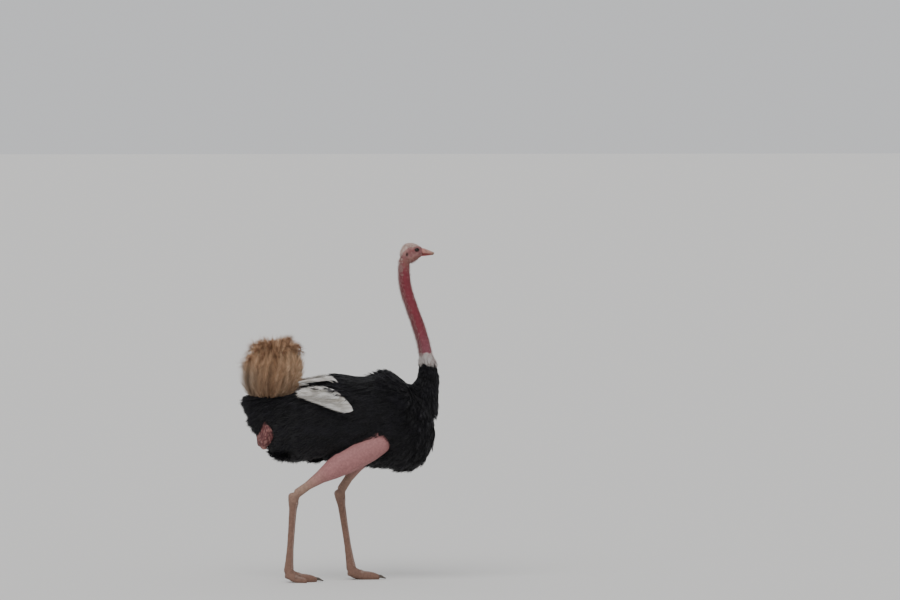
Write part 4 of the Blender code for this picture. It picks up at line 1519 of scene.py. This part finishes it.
def bill_half(node, upper):
    """Half of the bill, with the details that belong to it."""
    piece = remeshed(copy_of(node + " horn", [node]), BILL_VOXEL, 14)
    points, normals = points_and_normals(piece.data)
    x, y, z = points.T
    # it grows a little past its solid, and goes under the skin of the face at its base
    outside = smoothstep(-0.7, -0.2, normals[:, 2] if upper else -normals[:, 2])
    raised = 0.0008 - 0.0030 * smoothstep(0.532, 0.510, x) * outside
    points[:, 0] -= 0.006 * smoothstep(0.522, 0.508, x)
    pit = np.zeros(len(points))
    if upper:  # the nostril with its swollen edge, and the ridge
        slope = z - NOSTRIL[2] + 0.42 * (x - NOSTRIL[0])
        pit = bell((x - NOSTRIL[0], 0.0072), (slope, 0.0016)) * smoothstep(0.002, 0.005, abs(y))
        raised -= 0.0022 * pit
        raised += 0.0007 * bell((slope - 0.0034, 0.0018), (x - NOSTRIL[0], 0.010))
        raised += 0.0006 * smoothstep(0.0075, 0.0045, abs(y)) * smoothstep(0.512, 0.530, x)
    else:
        points[:, 1] *= 1.0 - 0.20 * smoothstep(0.534, 0.508, x)
        raised += 0.0012 * smoothstep(0.3, 0.8, normals[:, 2])
    nail_line = x + 40.0 * y ** 2 - 0.574
    raised += 0.0004 * smoothstep(-0.001, 0.003, nail_line)
    raised -= 0.0005 * bell((nail_line, 0.0014))
    set_coordinates(piece.data, points + raised[:, None] * normals)
    mesh = mesh_taken(piece)
    # the nostril's pit is kept, so that the finish can paint shade into it
    keep_values(mesh, "pit", pit)
    return mesh


def horn_finish(name, base, middle, tip):
    """Horn whose colour runs from the base of the bill to its tip, red along the mouth, with
    painted shade in the nostril.
    """
    made, tree, shader = new_material(name, 0.42)
    place = object_place(tree)
    x, z = axis(tree, place, "X"), axis(tree, place, "Z")
    run = tones(
        tree, ranged(tree, x, 0.506, 0.596),
        (0.0, *base), (0.40, *middle), (0.68, *middle), (0.86, *tip), (1.0, *tip),
    )
    edge, rear = ranged(tree, z, 2.068, 2.057, 0.8), ranged(tree, x, 0.578, 0.552)
    run = mixed(tree, maths(tree, "MULTIPLY", edge, rear), run, linear(146, 66, 68))
    # the nostril's pit is painted dark: painted shade in the slit
    run = mixed(tree, stored(tree, "pit"), run, linear(44, 22, 24))
    cloud = ramp(
        tree, grain(tree, place, 160.0, 4.0, (0.4, 1.0, 1.0)),
        (0.3, 0.72, 0.70, 0.68), (0.7, 1.12, 1.12, 1.12),
    )
    lines = grain(tree, place, 500.0, 2.0, (0.12, 1.0, 1.0))
    feed(tree, shader, {
        "Base Color": multiplied(tree, run, cloud), "Normal": bumped(tree, lines, 0.0003, 0.7),
    })
    return made


for half, base, middle, tip in (
    ("bill_upper", (176, 104, 98), (178, 132, 120), (150, 118, 100)),
    ("bill_lower", (140, 70, 70), (150, 100, 88), (128, 102, 82)),
):
    finish = horn_finish(half + "_horn", base, middle, tip)
    mesh = bill_half(half, upper=half == "bill_upper")
    as_piece(half + "_horn", mesh, finish, (half,))


# %% Claws
def striped_finish(name, roughness, colours, tone, lines, relief):
    """Horn of two tones with fine lines: the noise of each, then the lines' height."""
    made, tree, shader = new_material(name, roughness)
    place = object_place(tree)
    dark, light = colours
    feed(tree, shader, {
        "Base Color": tones(tree, grain(tree, place, *tone), (0.3, *dark), (0.7, *light)),
        "Normal": bumped(tree, grain(tree, place, *lines), *relief),
    })
    return made


CLAW_VOXEL = 0.0013
claw_finish = striped_finish(
    "claw_nail", 0.38, ((46, 40, 36), (96, 84, 74)),
    (260.0, 4.0, (0.15, 1.0, 1.0)), (320.0, 3.0, (0.1, 1.0, 1.0)), (0.0005, 0.8),
)
for side_name, side in SIDES:
    claw = "claw_" + side_name
    piece = remeshed(copy_of("claw", [claw]), CLAW_VOXEL, 6)
    points = coordinates(piece.data)
    x = points[:, 0]
    tip = points[x > x.max() - 0.004].mean(axis=0)
    x -= 0.014 * smoothstep(0.016, 0.0, x - x.min())  # its base goes back under the toe's skin
    narrow = 0.5 * smoothstep(-0.034, 0.0, x - tip[0])
    points[:, 1:] -= narrow[:, None] * (points[:, 1:] - [tip[1], tip[2] - 0.002])
    set_coordinates(piece.data, points)
    as_piece("claw_nail_" + side_name, mesh_taken(piece), claw_finish, (claw,))

# %% [markdown]
# ## Scutes
# Broad horny plates overlap down the front of each shank and along the top of each toe. They
# all have one shape, so Geometry Nodes put one plate after another along a line, turned to
# the front and scaled to the girth of the leg there.

# %% Shape of a plate
PLATE_ROWS = ((-0.5, 1.075), (0.0, 1.060), (0.5, 1.015))  # height, and how far out it is
PLATE_TURN, PLATE_STEPS, PLATE_INSIDE = 62, 6, 0.88


def plate_place(height, out, k, share):
    turn = math.radians(-PLATE_TURN + 2 * PLATE_TURN * k / PLATE_STEPS)
    out *= 1.0 - 0.045 * turn ** 2
    return share * (out * math.cos(turn)), share * (out * math.sin(turn)), height


def plate_object():
    """A curved plate round +X at unit girth, a little thicker at its lower edge."""
    mesh = bpy.data.meshes.new("plate")
    with edited(mesh) as built:
        outer, inner = (
            [[built.verts.new(plate_place(*row, k, share)) for k in range(PLATE_STEPS + 1)]
             for row in PLATE_ROWS]
            for share in (1.0, PLATE_INSIDE)
        )
        for a, b in zip(outer, outer[1:]):
            add_faces(built, a, a[1:], b[1:], b)
        for a, b in zip(inner, inner[1:]):
            add_faces(built, a, b, b[1:], a[1:])
        # the rims close the gap between the two layers
        outer_ends, inner_ends = list(zip(*outer)), list(zip(*inner))
        for a, b in ((outer[0], inner[0]), (outer_ends[-1], inner_ends[-1])):
            add_faces(built, a[1:], a, b, b[1:])
        for a, b in ((outer[-1], inner[-1]), (outer_ends[0], inner_ends[0])):
            add_faces(built, a, a[1:], b[1:], b)
        bmesh.ops.recalc_face_normals(built, faces=built.faces)
    mesh.shade_smooth()
    return bpy.data.objects.new("plate", mesh)


plate = plate_object()
print("plate of", triangles(plate.data), "triangles")

# %% The tree that puts plates along a line
plates_on_line, given, result = new_tree("plates along a line", {
    "Line": "Geometry", "Plate": "Object", "Finish": "Material", "Count": "Int",
    "Height": "Float", "Front": "Vector",
}, "Plates")
tree = plates_on_line
curve = add_node(tree, "GeometryNodeMeshToCurve", {"Mesh": given["Line"]}).outputs[0]
even = add_node(tree, "GeometryNodeResampleCurve", {"Curve": curve, "Count": given["Count"]})
shape = add_node(tree, "GeometryNodeObjectInfo", {"Object": given["Plate"]})
ahead = add_node(tree, "GeometryNodeInputTangent").outputs[0]
girth = field(tree, "girth")
placed = add_node(tree, "GeometryNodeInstanceOnPoints", {
    "Points": even.outputs[0], "Instance": shape.outputs["Geometry"],
    "Rotation": facing(tree, ahead, given["Front"]),
    "Scale": vector(tree, girth, girth, given["Height"]),
}).outputs[0]
finished(tree, realized(tree, placed), given, result)
print("tree of", len(tree.nodes), "nodes")

# %% Scutes of the legs and toes
FOOT_TOP = 0.072
SHANK_PLATES = (30, 0.0175, 0.045)  # how many, how high each is, and the widest girth
TOE_PLATES = {  # start beside the foot's middle, stops as ahead and below, then as for the shank
    "toe_large_": (0.0, ((0.060, 0.044), (0.100, 0.050), (0.160, 0.052)), (12, 0.0098, 0.046)),
    "toe_small_": (0.024, ((0.048, 0.050), (0.075, 0.054), (0.105, 0.056)), (8, 0.0085, 0.036)),
}
scute_finish = striped_finish(
    "scute_horn", 0.45, ((116, 90, 80), (150, 122, 108)),
    (90.0, 4.0), (350.0, 3.0, (1.0, 1.0, 0.3)), (0.0004, 0.6),
)
skin_tree = BVHTree.FromObject(skin, bpy.context.evaluated_depsgraph_get())


def plate_line(stops, front, count, height, widest):
    """Plates along a line inside the leg, each as wide as the leg is towards the front there."""
    line, _ = smooth_path(stops, 24)
    hits = [skin_tree.ray_cast(Vector(p), Vector(front).normalized(), 0.2) for p in line]
    girths = [0.5 * widest if hit[0] is None else min(hit[3], widest) for hit in hits]
    mesh = bpy.data.meshes.new("line")
    mesh.from_pydata(line.tolist(), [(k, k + 1) for k in range(len(line) - 1)], [])
    keep_values(mesh, "girth", np.array(girths))
    return tree_result(object_from("line", mesh), plates_on_line, {
        "Plate": plate, "Finish": scute_finish, "Count": count, "Height": height, "Front": front,
    })


for side_name, side in SIDES:
    ankle, foot = leg_line(side, 1)
    foot[2] = FOOT_TOP
    stops = [ankle + t * (foot - ankle) for t in (0.10, 0.35, 0.65, 0.97)]
    parts = [plate_line(stops, (1.0, 0.0, 0.12), *SHANK_PLATES)]
    for toe, (beside, places, plates) in TOE_PLATES.items():
        start, ahead = foot + [0.0, side * beside, 0.0], level_heading(TOES[toe][0], side)
        stops = [start + ahead * far - [0, 0, below] for far, below in places]
        parts.append(plate_line(stops, (0.0, 0.0, 1.0), *plates))
    mesh = bpy.data.meshes.new("scutes")
    with edited(mesh) as built:
        for part in parts:
            built.from_mesh(part)
    as_piece("scutes_" + side_name, mesh, scute_finish)

# %% Finish
bpy.data.objects.remove(body)
